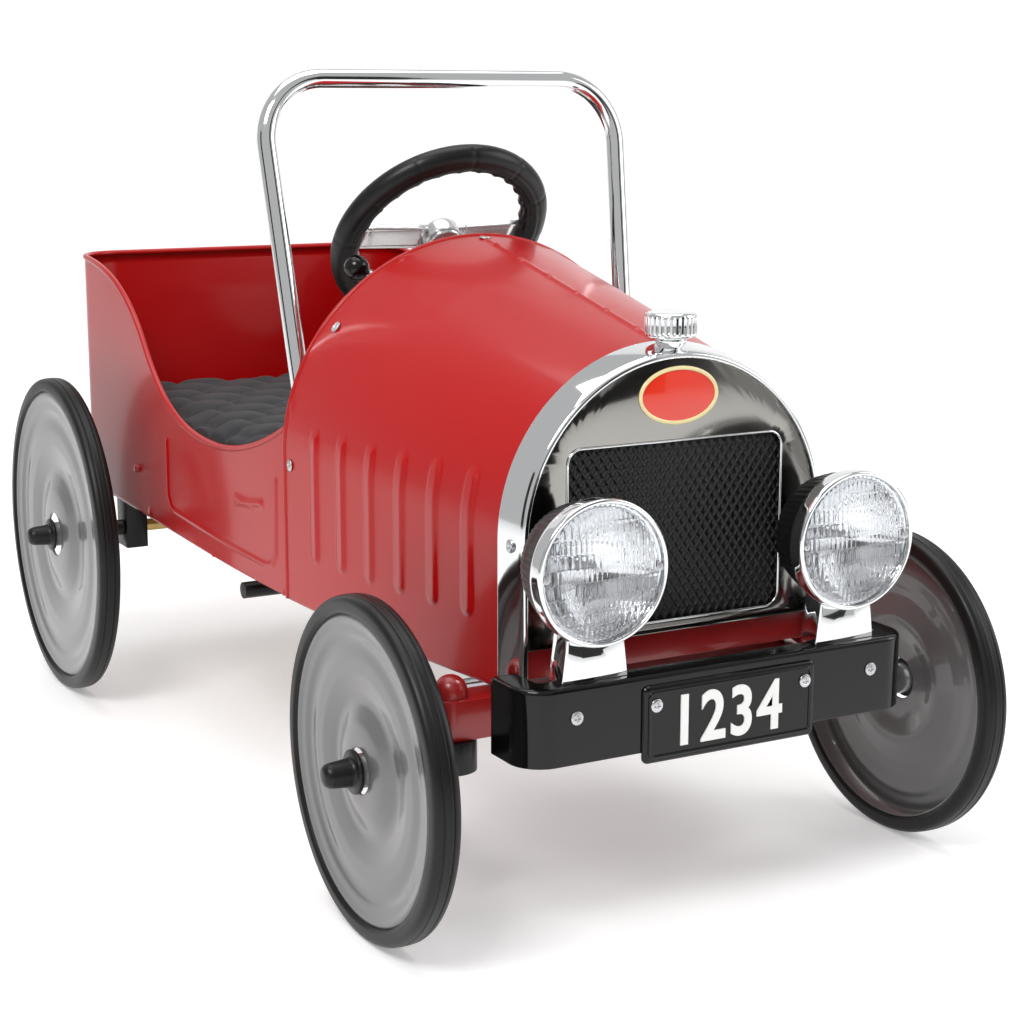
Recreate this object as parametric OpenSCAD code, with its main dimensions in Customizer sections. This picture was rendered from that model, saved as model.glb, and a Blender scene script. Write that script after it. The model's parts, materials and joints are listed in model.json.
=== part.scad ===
// Child's pedal car in pressed steel: X runs across the car, the front faces -Y, Z is up.
// The ground is z = 0 and all sizes are millimetres.

/* [Wheels] */
// Radius of a front tyre
front_wheel_r = 101.5; // [85:0.5:122]
// Radius of a rear tyre
rear_wheel_r = 128.5; // [107:0.5:155]
// Width of a tyre
tyre_w = 17; // [14:0.5:21]
// Height of the rubber outside the disc
tyre_h = 10.5; // [8.5:0.5:13]
// Sheet thickness of a wheel disc
disc_t = 1.6; // [1.2:0.1:2.2]
// Distance from the front axle to the rear axle
wheelbase = 592; // [560:1:711]
// Outer face of a front wheel, from the middle of the car
front_track = 200; // [196:1:215]
// Outer face of a rear wheel, from the middle of the car
rear_track = 203; // [199:1:218]
// Radius of a wheel axle
axle_r = 5; // [4:0.25:6]
// Radius of a hub cap's flange
hub_cap_r = 13; // [11:0.5:16]
// How far a hub cap stands out from the wheel's face
hub_cap_h = 21; // [17:0.5:25]

/* [Body] */
// Half width of the body outside, at its widest
body_half_w = 147; // [140:0.5:150]
// Radius of the side curve seen from above
plan_r = 1915; // [1700:5:2400]
// Thickness of the body sheet
sheet_t = 1.5; // [1.2:0.1:1.8]
// Height of the front lower edge above the front axle
body_lift = 37.5; // [36:0.5:45]
// Radius of the tub's rear corners
corner_r = 40; // [33:1:48]
// Height of the rear rim above the front lower edge
rim_h = 213; // [178:1:255]
// Lowest point of the cockpit side above the front lower edge
sill_h = 95.5; // [90:0.5:110]
// Height of the bonnet ridge at the cowl above the front lower edge
cowl_h = 252; // [245:1:262]
// Height of the bonnet ridge at the radiator above the front lower edge
nose_h = 197.5; // [195:0.5:199]

/* [Radiator] */
// Radius of the radiator shell at its rear edge
shell_r = 110.5; // [110:0.25:112]
// Radius of the radiator shell at its front lip
lip_r = 105; // [104:0.5:107]
// Depth of the radiator shell
shell_d = 22; // [20:0.5:26]
// Width of the grille opening
grille_w = 152; // [130:1:164]
// Height of the grille opening
grille_h = 110; // [96:1:116]
// Diameter of the fluted radiator cap
cap_d = 31; // [26:0.5:37]

/* [Windscreen] */
// Diameter of the windscreen tube
screen_d = 13; // [11:0.5:14]
// Overall height of the car, to the top of the windscreen
screen_top = 500; // [480:1:540]
// Radius of the windscreen's top corners, at the tube's middle
screen_bend = 44; // [36:1:52]

/* [Front end] */
// Half width of the bumper
bumper_half_w = 135.5; // [128:0.5:140]
// Height of the bumper's face
bumper_h = 45.5; // [40:0.5:50]
// Width of the number plate
plate_w = 120.5; // [100:0.5:136]
// Radius of a headlamp's bezel
lamp_r = 42; // [36:0.5:44]
// Distance of a headlamp from the middle of the car
lamp_x = 87.5; // [84:0.5:91]

/* [Steering] */
// Outer radius of the steering wheel
rim_r = 82; // [72:0.5:90]
// Thickness of the steering wheel's rim
rim_d = 21; // [17:0.5:24]
// Rake of the steering column above the horizontal
column_rake = 40.4; // [39:0.1:42]
// Diameter of the steering column
column_d = 10; // [8:0.5:12]
// Length of a steering arm, kingpin to tie rod
steer_arm = 57; // [54:0.5:60]

/* [Pedals] */
// Throw of the pedal crank
crank_throw = 32; // [27:0.5:38]
// Length of a pedal arm from its hinge to the pedal
pedal_arm_len = 168; // [150:1:180]
// Width of a pedal
pedal_w = 48; // [40:1:50]

/* [Seat] */
// Thickness of the seat cushion
cushion_t = 36; // [30:0.5:40]
// Thickness of the seat board
board_t = 6; // [4:0.5:8]

/* [Clearances] */
// Radial play of a turning shaft in its bush or bore
run_fit = 0.05; // [0.03:0.01:0.1]
// Gap between loose neighbours
gap = 0.4; // [0.3:0.1:0.6]

/* [Hidden] */
$fn = 48;

front_axle_y = -309.5;
rear_axle_y = front_axle_y + wheelbase;
base_z = front_wheel_r + body_lift;
edge_slope = 0.023;
arc_y = front_axle_y + 377;
tub_rear_y = rear_axle_y + 105;
cowl_y = front_axle_y + 239;
cowl_rake = 0.09;
tub_front_y = cowl_y - 34;
shell_rear_y = front_axle_y - 4.5;
shell_front_y = shell_rear_y - shell_d;
spring_front_z = base_z + 89;
spring_rear_z = base_z + 110.5;
tub_half_w = body_half_w - sheet_t - 0.2;
rim_z = base_z + rim_h;
sill_z = base_z + sill_h;
bonnet_front_y = shell_rear_y - 6;

// Lower edge of the body and the bonnet ridge and shoulder, as heights along the car
function edge_z(y) = base_z + edge_slope * (y - front_axle_y);
function ridge_z(y) = base_z + nose_h
    + (cowl_h - nose_h) * (y - shell_rear_y) / (cowl_y - shell_rear_y);
function spring_z(y) = spring_front_z
    + (spring_rear_z - spring_front_z) * (y - shell_rear_y) / (cowl_y - shell_rear_y);
// Half width of a body curve whose widest half width is w
function half_w(y, w) = y >= arc_y ? w : w - plan_r + sqrt(plan_r * plan_r - pow(y - arc_y, 2));
function lerp(a, b, t) = a + (b - a) * t;
function bezier(a, b, c, d, n) = [for (i = [0 : n]) let (t = i / n)
    pow(1 - t, 3) * a + 3 * pow(1 - t, 2) * t * b + 3 * (1 - t) * t * t * c + pow(t, 3) * d];
function mirrored(points) = [for (i = [len(points) - 1 : -1 : 0]) [-points[i][0], points[i][1]]];

module mirror_copy() {
    children();
    mirror([1, 0, 0]) children();
}

// A cylinder along X, from x0 to x1
module bar_x(x0, x1, r) {
    translate([x0, 0, 0]) rotate([0, 90, 0]) cylinder(h = x1 - x0, r = r);
}

// A cylinder along Y, from y0 to y1, that may taper
module bar_y(y0, y1, r0, r1) {
    translate([0, y0, 0]) rotate([-90, 0, 0]) cylinder(h = y1 - y0, r1 = r0, r2 = r1);
}

// A prism along Y with an outline drawn in X and Z
module prism_y(y0, y1) {
    translate([0, y1, 0]) rotate([90, 0, 0]) linear_extrude(y1 - y0) children();
}

// A prism along X with an outline drawn in Y and Z
module prism_x(x0, x1) {
    translate([x0, 0, 0]) rotate([90, 0, 90]) linear_extrude(x1 - x0) children();
}

// ---- tub ----
arc_steps = 14;
corner_steps = 8;
sill_low = [arc_y - 10, sill_z];
sill_mid = [arc_y + 137, sill_z + 55.5];
sill_end = [tub_rear_y - 30, rim_z];

function side_half(w, y0) = [for (i = [0 : arc_steps]) let (y = lerp(y0, arc_y, i / arc_steps))
    [half_w(y, w), y]];
function corner_half(w, y1, r) = [for (i = [0 : corner_steps]) let (a = 90 * i / corner_steps)
    [w - r + r * cos(a), y1 - r + r * sin(a)]];
function plan_points(w, y0, y1, r) =
    let (right = concat(side_half(w, y0), corner_half(w, y1, r))) concat(right, mirrored(right));

// Side view of the tub: level rear rim, S-shaped cockpit side and sloping lower edge
tub_profile = concat(
    [[tub_front_y, edge_z(tub_front_y)], [tub_front_y, spring_z(tub_front_y) - 1],
        [cowl_y + 0.3, spring_z(cowl_y) - 1]],
    bezier([cowl_y + 0.3, sill_z + 30], [arc_y - 105, sill_z + 14],
        [arc_y - 60, sill_z], sill_low, 8),
    bezier(sill_low, [arc_y + 60, sill_z], [arc_y + 100, sill_z + 15.5], sill_mid, 8),
    bezier(sill_mid, [arc_y + 165, sill_z + 86], [arc_y + 205, rim_z - 5], sill_end, 8),
    [[tub_rear_y + 1, rim_z], [tub_rear_y + 1, edge_z(tub_rear_y)]]);

module tub() {
    color("firebrick") difference() {
        intersection() {
            linear_extrude(rim_z + 1) difference() {
                polygon(plan_points(tub_half_w, tub_front_y, tub_rear_y, corner_r));
                polygon(plan_points(tub_half_w - sheet_t, tub_front_y - 1,
                    tub_rear_y - sheet_t, corner_r - sheet_t));
            }
            prism_x(-body_half_w, body_half_w) polygon(tub_profile);
        }
        // room for the axle, whatever the size of the rear wheels
        translate([0, rear_axle_y, rear_wheel_r])
            bar_x(-body_half_w, body_half_w, axle_r + 2);
    }
}

// ---- bonnet ----
bonnet_stations = 12;
bonnet_arc = 32;

function bonnet_ring(s, inset) =
    let (y0 = lerp(bonnet_front_y, cowl_y, s))
    [for (i = [-2 : bonnet_arc + 2])
        let (a = 180 - 180 * min(max(i, 0), bonnet_arc) / bonnet_arc,
            rise = max(sin(a), 0),
            y = y0 - cowl_rake * s * rise * (ridge_z(y0) - spring_z(y0)),
            w = half_w(y, body_half_w) - inset,
            z = spring_z(y) + rise * (ridge_z(y) - inset - spring_z(y)),
            low = i < 0 ? -i / 2 : i > bonnet_arc ? (i - bonnet_arc) / 2 : 0)
        [w * cos(a), y, lerp(z, edge_z(y), low)]];

function grid_faces(rows, cols, first, flip) = [for (r = [0 : rows - 2]) for (c = [0 : cols - 2])
    for (half = [0, 1])
        let (a = first + r * cols + c, b = a + 1, d = a + cols, e = d + 1,
            tri = half == 0 ? [a, b, e] : [a, e, d])
        flip ? [tri[2], tri[1], tri[0]] : tri];

module bonnet() {
    cols = bonnet_arc + 5;
    rows = bonnet_stations + 1;
    count = cols * rows;
    outer = [for (r = [0 : rows - 1]) each bonnet_ring(r / bonnet_stations, 0)];
    inner = [for (r = [0 : rows - 1]) each bonnet_ring(r / bonnet_stations, sheet_t)];
    ends = [for (c = [0 : cols - 2]) for (k = [0, 1])
        let (last = count - cols + c, front = c)
        k == 0 ? [front, front + count, front + 1 + count, front + 1]
            : [last + 1, last + 1 + count, last + count, last]];
    edges = [for (r = [0 : rows - 2]) for (k = [0, 1])
        let (low = r * cols, high = r * cols + cols - 1)
        k == 0 ? [low, low + cols, low + cols + count, low + count]
            : [high + count, high + cols + count, high + cols, high]];
    color("firebrick") polyhedron(points = concat(outer, inner),
        faces = concat(grid_faces(rows, cols, 0, false), grid_faces(rows, cols, count, true),
            ends, edges));
}

// ---- dash ----
dash_y = cowl_y - 24;
dash_t = 2;
dash_foot_z = base_z + 163;
wheel_y = front_axle_y + 284;
wheel_z = base_z + 246;

// Puts children in the column's frame: z runs up the column, the origin is the wheel's middle
module on_column() {
    translate([0, wheel_y, wheel_z]) rotate([-(90 - column_rake), 0, 0]) children();
}

bush_r = column_d / 2 + 4;
dash_reach = (wheel_y - dash_y) / cos(column_rake);

module dash_panel() {
    points = [for (i = [0 : bonnet_arc]) let (a = 180 * i / bonnet_arc)
        [(half_w(dash_y, body_half_w) - sheet_t - gap) * cos(a),
        spring_z(dash_y) + (ridge_z(dash_y) - sheet_t - 1.2 - spring_z(dash_y)) * sin(a)]];
    color("firebrick") difference() {
        prism_y(dash_y, dash_y + dash_t) polygon(points);
        translate([-body_half_w, dash_y - 1, 0]) cube([2 * body_half_w, dash_t + 2, dash_foot_z]);
        on_column() translate([0, 0, -dash_reach - 20]) cylinder(h = 40, r = bush_r);
        translate(lever_foot) bar_y(-dash_t - 2, 1, lever_pin_r + run_fit, lever_pin_r + run_fit);
    }
}

// ---- radiator ----
shell_t = 1.3;
shell_foot_z = base_z + 1;
lip_d = 3;
panel_y = shell_front_y + 1.5;
panel_t = 1.2;
panel_foot_z = base_z + 26;
grille_z = base_z + 87.6;
grille_corner = 9;

function shell_section() = [[shell_r, shell_rear_y], [lip_r, shell_front_y],
    [lip_r - lip_d, shell_front_y], [lip_r - lip_d, shell_front_y + shell_t],
    [lip_r - shell_t, shell_front_y + shell_t], [shell_r - shell_t, shell_rear_y]];

module radiator_shell() {
    color("silver") difference() {
        union() {
            translate([0, 0, spring_front_z]) rotate([90, 0, 0])
                rotate_extrude(angle = 180, $fn = 96)
                    polygon([for (p = shell_section()) [p[0], -p[1]]]);
            mirror_copy() translate([0, 0, shell_foot_z])
                linear_extrude(spring_front_z - shell_foot_z) polygon(shell_section());
        }
        translate([0, cap_y, spring_front_z]) cylinder(h = shell_r + 10, r = stem_r);
    }
}

module grille_outline(extra) {
    w = grille_w / 2 + extra;
    h = grille_h / 2 + extra;
    r = grille_corner + extra;
    translate([0, grille_z]) {
        square([2 * (w - r), 2 * h], center = true);
        square([2 * w, 2 * (h - r)], center = true);
        for (x = [-1, 1]) for (z = [-1, 1]) translate([x * (w - r), z * (h - r)]) circle(r);
    }
}

module radiator_panel() {
    panel_r = lip_r - shell_t - gap;
    color("dimgray") prism_y(panel_y, panel_y + panel_t) difference() {
        union() {
            translate([0, spring_front_z]) circle(panel_r, $fn = 96);
            translate([-panel_r, panel_foot_z])
                square([2 * panel_r, spring_front_z - panel_foot_z]);
        }
        grille_outline(0);
        translate([-shell_r, 0]) square([2 * shell_r, panel_foot_z]);
    }
}

module grille_mesh() {
    color("black") prism_y(panel_y + panel_t, panel_y + panel_t + 2) grille_outline(6);
}

badge_z = base_z + 169;
badge_w = 56;
badge_h = 35;

module badge() {
    color("orangered") prism_y(panel_y - 1.2, panel_y)
        translate([0, badge_z]) polygon([for (a = [0 : 7.5 : 352.5])
            [badge_w / 2 * cos(a), badge_h / 2 * sin(a)]]);
}

neck_r = 9.5;
stem_r = 5;
cap_y = bonnet_front_y - stem_r;
neck_z = spring_front_z + shell_r + 3;
flutes = 28;

// A stem through the shell, between panel and bonnet, under the collar that carries the cap
module radiator_neck() {
    color("silver") {
        translate([0, cap_y, spring_front_z + lip_r - 10])
            cylinder(h = neck_z - spring_front_z - lip_r + 10, r = stem_r - run_fit);
        translate([0, cap_y, spring_front_z + shell_r + 0.2])
            cylinder(h = neck_z - spring_front_z - shell_r - 0.2, r = neck_r);
    }
}

module radiator_cap() {
    color("silver") translate([0, cap_y, neck_z]) difference() {
        cylinder(h = 15, d = cap_d);
        for (i = [0 : flutes - 1]) rotate(i * 360 / flutes)
            translate([cap_d / 2 + 0.3, 0, 2]) cylinder(h = 10, r = 1.2, $fn = 16);
    }
}

module front_cross_panel() {
    w = lip_r - shell_t - gap;
    color("darkred") translate([-w, shell_front_y + 6, base_z + 8]) cube([2 * w, 1.5, 20]);
}

// ---- windscreen ----
screen_rake = 10.65;
screen_splay = 2.9;
screen_half_w = 143.5;
screen_r = screen_d / 2;
screen_y = front_axle_y + 277.6;
post_foot_z = base_z + 83;
bar_half = screen_half_w - screen_r - screen_bend;
post_len = (screen_top - screen_r - post_foot_z) / cos(screen_rake) - screen_bend;

// Puts children in the windscreen's own plane, with the origin at the top bar's middle
module on_screen() {
    translate([0, screen_y, screen_top - screen_r]) rotate([90 - screen_rake, 0, 0]) children();
}

// Half of the tube's path as [x, y, heading]: post foot, round the bend, top bar's middle
bend_steps = 12;
post_path = concat(
    [[bar_half + screen_bend * cos(screen_splay) - post_len * sin(screen_splay),
        -screen_bend - screen_bend * sin(screen_splay) - post_len * cos(screen_splay),
        90 - screen_splay]],
    [for (i = [0 : bend_steps]) let (a = lerp(-screen_splay, 90, i / bend_steps))
        [bar_half + screen_bend * cos(a), -screen_bend + screen_bend * sin(a), 90 + a]]);
screen_path = concat(post_path, [for (i = [len(post_path) - 1 : -1 : 0])
    [-post_path[i][0], post_path[i][1], 360 - post_path[i][2]]]);
screen_sides = 24;

module windscreen_frame() {
    rings = len(screen_path);
    points = [for (p = screen_path) for (k = [0 : screen_sides - 1])
        let (a = 360 * k / screen_sides, out = screen_r * cos(a))
        [p[0] - out * sin(p[2]), p[1] + out * cos(p[2]), screen_r * sin(a)]];
    walls = [for (r = [0 : rings - 2]) for (k = [0 : screen_sides - 1])
        let (a = r * screen_sides + k, b = r * screen_sides + (k + 1) % screen_sides)
        [a, a + screen_sides, b + screen_sides, b]];
    ends = [[for (k = [0 : screen_sides - 1]) k],
        [for (k = [screen_sides - 1 : -1 : 0]) (rings - 1) * screen_sides + k]];
    color("silver") on_screen() polyhedron(points = points, faces = concat(walls, ends));
}

screen_bolt_z = base_z + 99;
screen_bolt_y = screen_y - (screen_top - screen_r - screen_bolt_z) * tan(screen_rake);

module windscreen_clamps() {
    out = half_w(screen_bolt_y, tub_half_w) - sheet_t - 1;
    color("black") difference() {
        mirror_copy() translate([out - 14, screen_bolt_y - 11, screen_bolt_z - 12])
            cube([14, 22, 24]);
        on_screen() mirror_copy() translate([bar_half, -screen_bend, 0])
            rotate(-screen_splay) translate([screen_bend, 0, 0]) rotate([90, 0, 0])
                cylinder(h = post_len + 20, r = screen_r);
    }
}

// ---- bumper and plate ----
bumper_front_y = front_axle_y - 83;
bumper_z = base_z - 25;
bumper_d = 26;
bumper_t = 2.5;
bumper_corner = 20;

module bumper_outline(inset) {
    w = bumper_half_w - inset;
    r = bumper_corner - inset;
    translate([-w, bumper_front_y + bumper_corner]) square([2 * w, bumper_d - bumper_corner]);
    translate([-w + r, bumper_front_y + inset]) square([2 * (w - r), bumper_corner]);
    for (x = [-1, 1]) translate([x * (w - r), bumper_front_y + bumper_corner]) circle(r);
}

module bumper() {
    color("black") difference() {
        translate([0, 0, bumper_z]) linear_extrude(bumper_h) bumper_outline(0);
        translate([0, 0, bumper_z - 1]) linear_extrude(bumper_h - bumper_t + 1)
            bumper_outline(bumper_t);
        translate([-bumper_half_w + bumper_t, bumper_front_y + bumper_d - 5, bumper_z - 1])
            cube([2 * (bumper_half_w - bumper_t), 10, bumper_h - bumper_t + 1]);
    }
}

bumper_screw_x = 103;
bumper_screw_z = base_z + 2.5;

beam_z = front_wheel_r + 11.5;
beam_h = 24;
beam_d = 24;
beam_t = 3;
bracket_x = 62;

module bumper_brackets() {
    y0 = bumper_front_y + bumper_t;
    y1 = front_axle_y - beam_d / 2;
    color("black") mirror_copy() {
        translate([bracket_x, y0, beam_z + 4]) cube([24, y1 - y0, 4]);
        translate([bracket_x, y0, beam_z + 4]) cube([24, 3, 26]);
    }
}

plate_z = base_z - 31.5;
plate_h = 46;
plate_t = 2.5;
plate_y = bumper_front_y - plate_t;
digit_h = 30;
digit_pitch = 19;
stroke_w = 4;

module number_plate() {
    color("black") prism_y(plate_y, bumper_front_y)
        translate([-plate_w / 2, plate_z]) square([plate_w, plate_h]);
}

// Plain digits 1 2 3 4 made of straight strokes on a 1 by 2 cell
digit_strokes = [
    [[[0.5, 0], [0.5, 2]], [[0.5, 2], [0.15, 1.6]]],
    [[[0, 2], [1, 2]], [[1, 2], [1, 1]], [[1, 1], [0, 1]], [[0, 1], [0, 0]], [[0, 0], [1, 0]]],
    [[[0, 2], [1, 2]], [[1, 2], [1, 0]], [[0, 1], [1, 1]], [[0, 0], [1, 0]]],
    [[[0, 2], [0, 1]], [[0, 1], [1, 1]], [[1, 2], [1, 0]]]];

module stroke(a, b) {
    run = b - a;
    translate(a) rotate(atan2(run[1], run[0])) translate([-stroke_w / 2, -stroke_w / 2])
        square([norm(run) + stroke_w, stroke_w]);
}

module plate_digits() {
    cell = [11, (digit_h - stroke_w) / 2];
    color("white") prism_y(plate_y - 1.2, plate_y) translate([0, plate_z + plate_h / 2])
        for (d = [0 : 3]) translate([(d - 1.5) * digit_pitch - cell[0] / 2, -cell[1]])
            for (s = digit_strokes[d])
                stroke([s[0][0] * cell[0], s[0][1] * cell[1]], [s[1][0] * cell[0], s[1][1] * cell[1]]);
}

plate_screw_x = 52;
plate_screw_z = base_z + 3;

// ---- headlamps ----
lamp_z = base_z + 83.6;
lamp_front_y = front_axle_y - 86.5;
bezel_d = 11;
housing_d = 26;

module lamp_bezels() {
    color("silver") mirror_copy() translate([lamp_x, 0, lamp_z]) difference() {
        bar_y(lamp_front_y, lamp_front_y + bezel_d, lamp_r, lamp_r);
        bar_y(lamp_front_y - 1, lamp_front_y + 4, lamp_r - 3, lamp_r - 3);
        bar_y(lamp_front_y + 3, lamp_front_y + bezel_d + 1, lamp_r - 5, lamp_r - 5);
    }
}

module lamp_lenses() {
    color("white") mirror_copy() translate([lamp_x, 0, lamp_z])
        bar_y(lamp_front_y + 1, lamp_front_y + 4, lamp_r - 3 - run_fit, lamp_r - 3 - run_fit);
}

module lamp_housings() {
    y0 = lamp_front_y + bezel_d;
    color("black") mirror_copy() translate([lamp_x, 0, lamp_z]) difference() {
        bar_y(y0, y0 + housing_d, lamp_r - 2, lamp_r - 8);
        bar_y(y0 - 1, y0 + housing_d - 2, lamp_r - 4, lamp_r - 10);
    }
}

module lamp_reflectors() {
    y0 = lamp_front_y + 4;
    color("gainsboro") mirror_copy() translate([lamp_x, 0, lamp_z]) difference() {
        bar_y(y0, y0 + 22, lamp_r - 5.5, lamp_r - 16);
        bar_y(y0 - 1, y0 + 20, lamp_r - 7, lamp_r - 18);
    }
}

module lamp_pedestals() {
    foot_z = bumper_z + bumper_h;
    y0 = bumper_front_y + 6;
    color("silver") mirror_copy() difference() {
        prism_y(y0, y0 + 15) polygon([[lamp_x - 21.5, foot_z], [lamp_x + 21.5, foot_z],
            [lamp_x + 17.5, foot_z + 33], [lamp_x - 17.5, foot_z + 33]]);
        translate([lamp_x, 0, lamp_z]) bar_y(lamp_front_y - 1, lamp_front_y + bezel_d,
            lamp_r, lamp_r);
        translate([lamp_x, 0, lamp_z]) bar_y(lamp_front_y + bezel_d,
            lamp_front_y + bezel_d + housing_d, lamp_r - 2, lamp_r - 8);
    }
}

// ---- chassis ----
rail_x = 101;
rail_t = 4;
rail_h = 22;
rail_z = beam_z + beam_h;
block_y = 24;

module chassis_rails() {
    y0 = front_axle_y + 5;
    color("darkred") mirror_copy() difference() {
        translate([rail_x, y0, rail_z]) cube([rail_t, rear_axle_y + 45 - y0, rail_h]);
        translate([0, rear_axle_y, rear_wheel_r]) bar_x(rail_x - 1, rail_x + 6, axle_r + 2);
    }
}

outrigger_y = front_axle_y + 325;
outrigger_r = 6;

// Short stays under the rails that steady the body's lower edge
module outriggers() {
    color("black") mirror_copy()
        translate([0, outrigger_y, rail_z - outrigger_r])
            bar_x(rail_x - 2, half_w(outrigger_y, tub_half_w) - 4, outrigger_r);
}

king_x = 139;
dome_r = 10;
dome_z = front_wheel_r + 39;
king_r = 4;
bush_t = 2;
bush_h = 9;

module front_beam() {
    color("darkred") difference() {
        union() {
            difference() {
                translate([-king_x, front_axle_y - beam_d / 2, beam_z])
                    cube([2 * king_x, beam_d, beam_h]);
                // the channel is open at the back
                translate([-king_x + 18, front_axle_y - beam_d / 2 + beam_t, beam_z + beam_t])
                    cube([2 * king_x - 36, beam_d, beam_h - 2 * beam_t]);
            }
            mirror_copy() translate([king_x, front_axle_y, 0]) {
                translate([0, 0, beam_z]) cylinder(h = beam_h, r = beam_d / 2);
                translate([0, 0, beam_z + beam_h]) cylinder(h = dome_z - beam_z - beam_h, r = dome_r);
                translate([0, 0, dome_z]) sphere(r = dome_r);
            }
        }
        mirror_copy() translate([king_x, front_axle_y, beam_z - 1])
            cylinder(h = dome_z - beam_z + 1, r = king_r + bush_t);
    }
}

// Nylon bushes: four for the kingpins and one for the steering column
module bushes() {
    color("ivory") on_column() translate([0, 0, -dash_reach]) difference() {
        translate([0, 0, -9]) cylinder(h = 18, r = bush_r);
        translate([0, 0, -10]) cylinder(h = 20, r = column_d / 2 + run_fit);
    }
    color("ivory") mirror_copy() for (z = [beam_z, dome_z - bush_h]) difference() {
        translate([king_x, front_axle_y, z]) cylinder(h = bush_h, r = king_r + bush_t);
        translate([king_x, front_axle_y, z - 1]) cylinder(h = bush_h + 2, r = king_r + run_fit);
    }
}

// ---- steering ----
hub_r = 14;
spoke_t = 4;
pin_z = front_wheel_r + 23.5;
arm_y = front_axle_y + steer_arm;
// The column ends where its bent tip crosses the tie rod's slot
drop = tan(column_rake);
column_end_y = (arm_y + drop * (pin_z - wheel_z + drop * wheel_y)) / (1 + drop * drop);
column_end_z = wheel_z + drop * (column_end_y - wheel_y);
column_len = (wheel_y - column_end_y) / cos(column_rake);
tip_len = (column_end_z - pin_z) / cos(column_rake) + 7;
tip_r = 3;
tie_w = 10;
tie_t = 3;
tip_slot = 2 * (tip_r + 2.6);

module steering_rim() {
    ring_r = rim_r - rim_d / 2;
    color("black") on_column() difference() {
        rotate_extrude(angle = 360, $fn = 64) translate([ring_r, 0]) circle(rim_d / 2);
        translate([-rim_r, -9, -3]) cube([2 * rim_r, 18, 6]);
    }
}

module steering_spokes() {
    reach = rim_r - rim_d / 2 + 2;
    color("silver") on_column() difference() {
        union() {
            translate([0, 0, -12]) cylinder(h = 16, r = hub_r);
            translate([-reach, -8.5, -2]) cube([2 * reach, 17, spoke_t]);
        }
        translate([0, 0, -13]) cylinder(h = 12, d = column_d);
        for (x = [-1, 1]) for (i = [0 : 2])
            translate([x * (22 + i * 14) - 4, -4, -3]) cube([8, 8, 6]);
    }
}

module steering_column() {
    color("silver") on_column() {
        translate([0, 0, -column_len]) cylinder(h = column_len - 1, d = column_d);
        translate([0, 0, -column_len]) sphere(d = column_d);
        translate([0, 0, -column_len]) rotate([-90, 0, 0]) cylinder(h = tip_len, r = tip_r);
    }
}

bracket_reach = (wheel_y - (front_axle_y + 55)) / cos(column_rake);
bracket_z = wheel_z - bracket_reach * sin(column_rake);

module column_bracket() {
    y = front_axle_y + 55;
    top = rail_z + rail_h;
    color("darkred") difference() {
        union() {
            translate([-rail_x - rail_t, y - 10, top]) cube([2 * (rail_x + rail_t), 20, 3]);
            translate([-8, y - 5, top]) cube([16, 10, bracket_z - top]);
            on_column() translate([0, 0, -bracket_reach - 8]) cylinder(h = 16, r = bush_r + 1);
        }
        on_column() translate([0, 0, -bracket_reach - 20])
            cylinder(h = 40, r = column_d / 2 + run_fit);
    }
}

module tie_rod() {
    color("silver") translate([0, arm_y, pin_z - tie_t / 2]) difference() {
        union() {
            translate([-king_x, -tie_w / 2, 0]) cube([2 * king_x, tie_w, tie_t]);
            mirror_copy() translate([king_x, 0, 0]) cylinder(h = tie_t, r = 7);
            translate([-tip_slot / 2 - 4, -11, 0]) cube([tip_slot + 8, 27, tie_t]);
        }
        mirror_copy() translate([king_x, 0, -1]) cylinder(h = tie_t + 2, r = 3 + run_fit);
        translate([-tip_slot / 2, -7, -1]) cube([tip_slot, 19, tie_t + 2]);
    }
}

knuckle_r = 15.5;
knuckle_top = beam_z - gap;
knuckle_foot = front_wheel_r - 8;
arm_t = 7;

// Moulded block that holds the kingpin, the stub axle and the steering arm
module knuckle(side) {
    hub_x = front_track + hub_cap_h - 6;
    color("dimgray") scale([side, 1, 1]) translate([king_x, front_axle_y, 0]) {
        translate([0, 0, knuckle_foot]) cylinder(h = knuckle_top - knuckle_foot, r = knuckle_r);
        translate([0, 0, knuckle_foot]) cylinder(h = dome_z - 1 - knuckle_foot, r = king_r);
        translate([0, 0, front_wheel_r]) bar_x(0, hub_x - king_x, axle_r);
        // shoulder that the wheel's hub runs against
        translate([0, 0, front_wheel_r])
            bar_x(0, front_track - hub_len - gap - king_x, axle_r + shoulder_t);
        translate([-5, 0, knuckle_top - arm_t]) cube([10, steer_arm, arm_t]);
        translate([0, steer_arm, knuckle_top - arm_t]) cylinder(h = arm_t, r = 5);
        translate([0, steer_arm, knuckle_top - 1])
            cylinder(h = pin_z + tie_t / 2 + 3 - knuckle_top + 1, r = 3);
    }
}
module knuckle_right() { knuckle(-1); }
module knuckle_left() { knuckle(1); }

// ---- gear lever ----
lever_foot = [-48, dash_y + dash_t + 0.3, base_z + 211];
lever_pin_r = 3;
ball = [-78, front_axle_y + 257, base_z + 227];
ball_d = 17.5;

module gear_lever() {
    run = ball - lever_foot;
    color("silver") {
        translate(lever_foot) bar_y(0, 5, 7, 7);
        // pin through the dash and its retaining collar
        translate(lever_foot) bar_y(-dash_t - 2, 1, lever_pin_r, lever_pin_r);
        translate(lever_foot) bar_y(-dash_t - 2.6, -dash_t - 0.6, 5, 5);
        translate(lever_foot + [0, 3, 0])
            rotate([0, acos(run[2] / norm(run)), atan2(run[1], run[0])])
                cylinder(h = norm(run) - 6, r = 2.8);
    }
}

module gear_knob() {
    run = ball - lever_foot;
    color("black") difference() {
        translate(ball) sphere(d = ball_d);
        translate(lever_foot + [0, 3, 0])
            rotate([0, acos(run[2] / norm(run)), atan2(run[1], run[0])])
                cylinder(h = norm(run) - 6, r = 2.8);
    }
}

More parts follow.
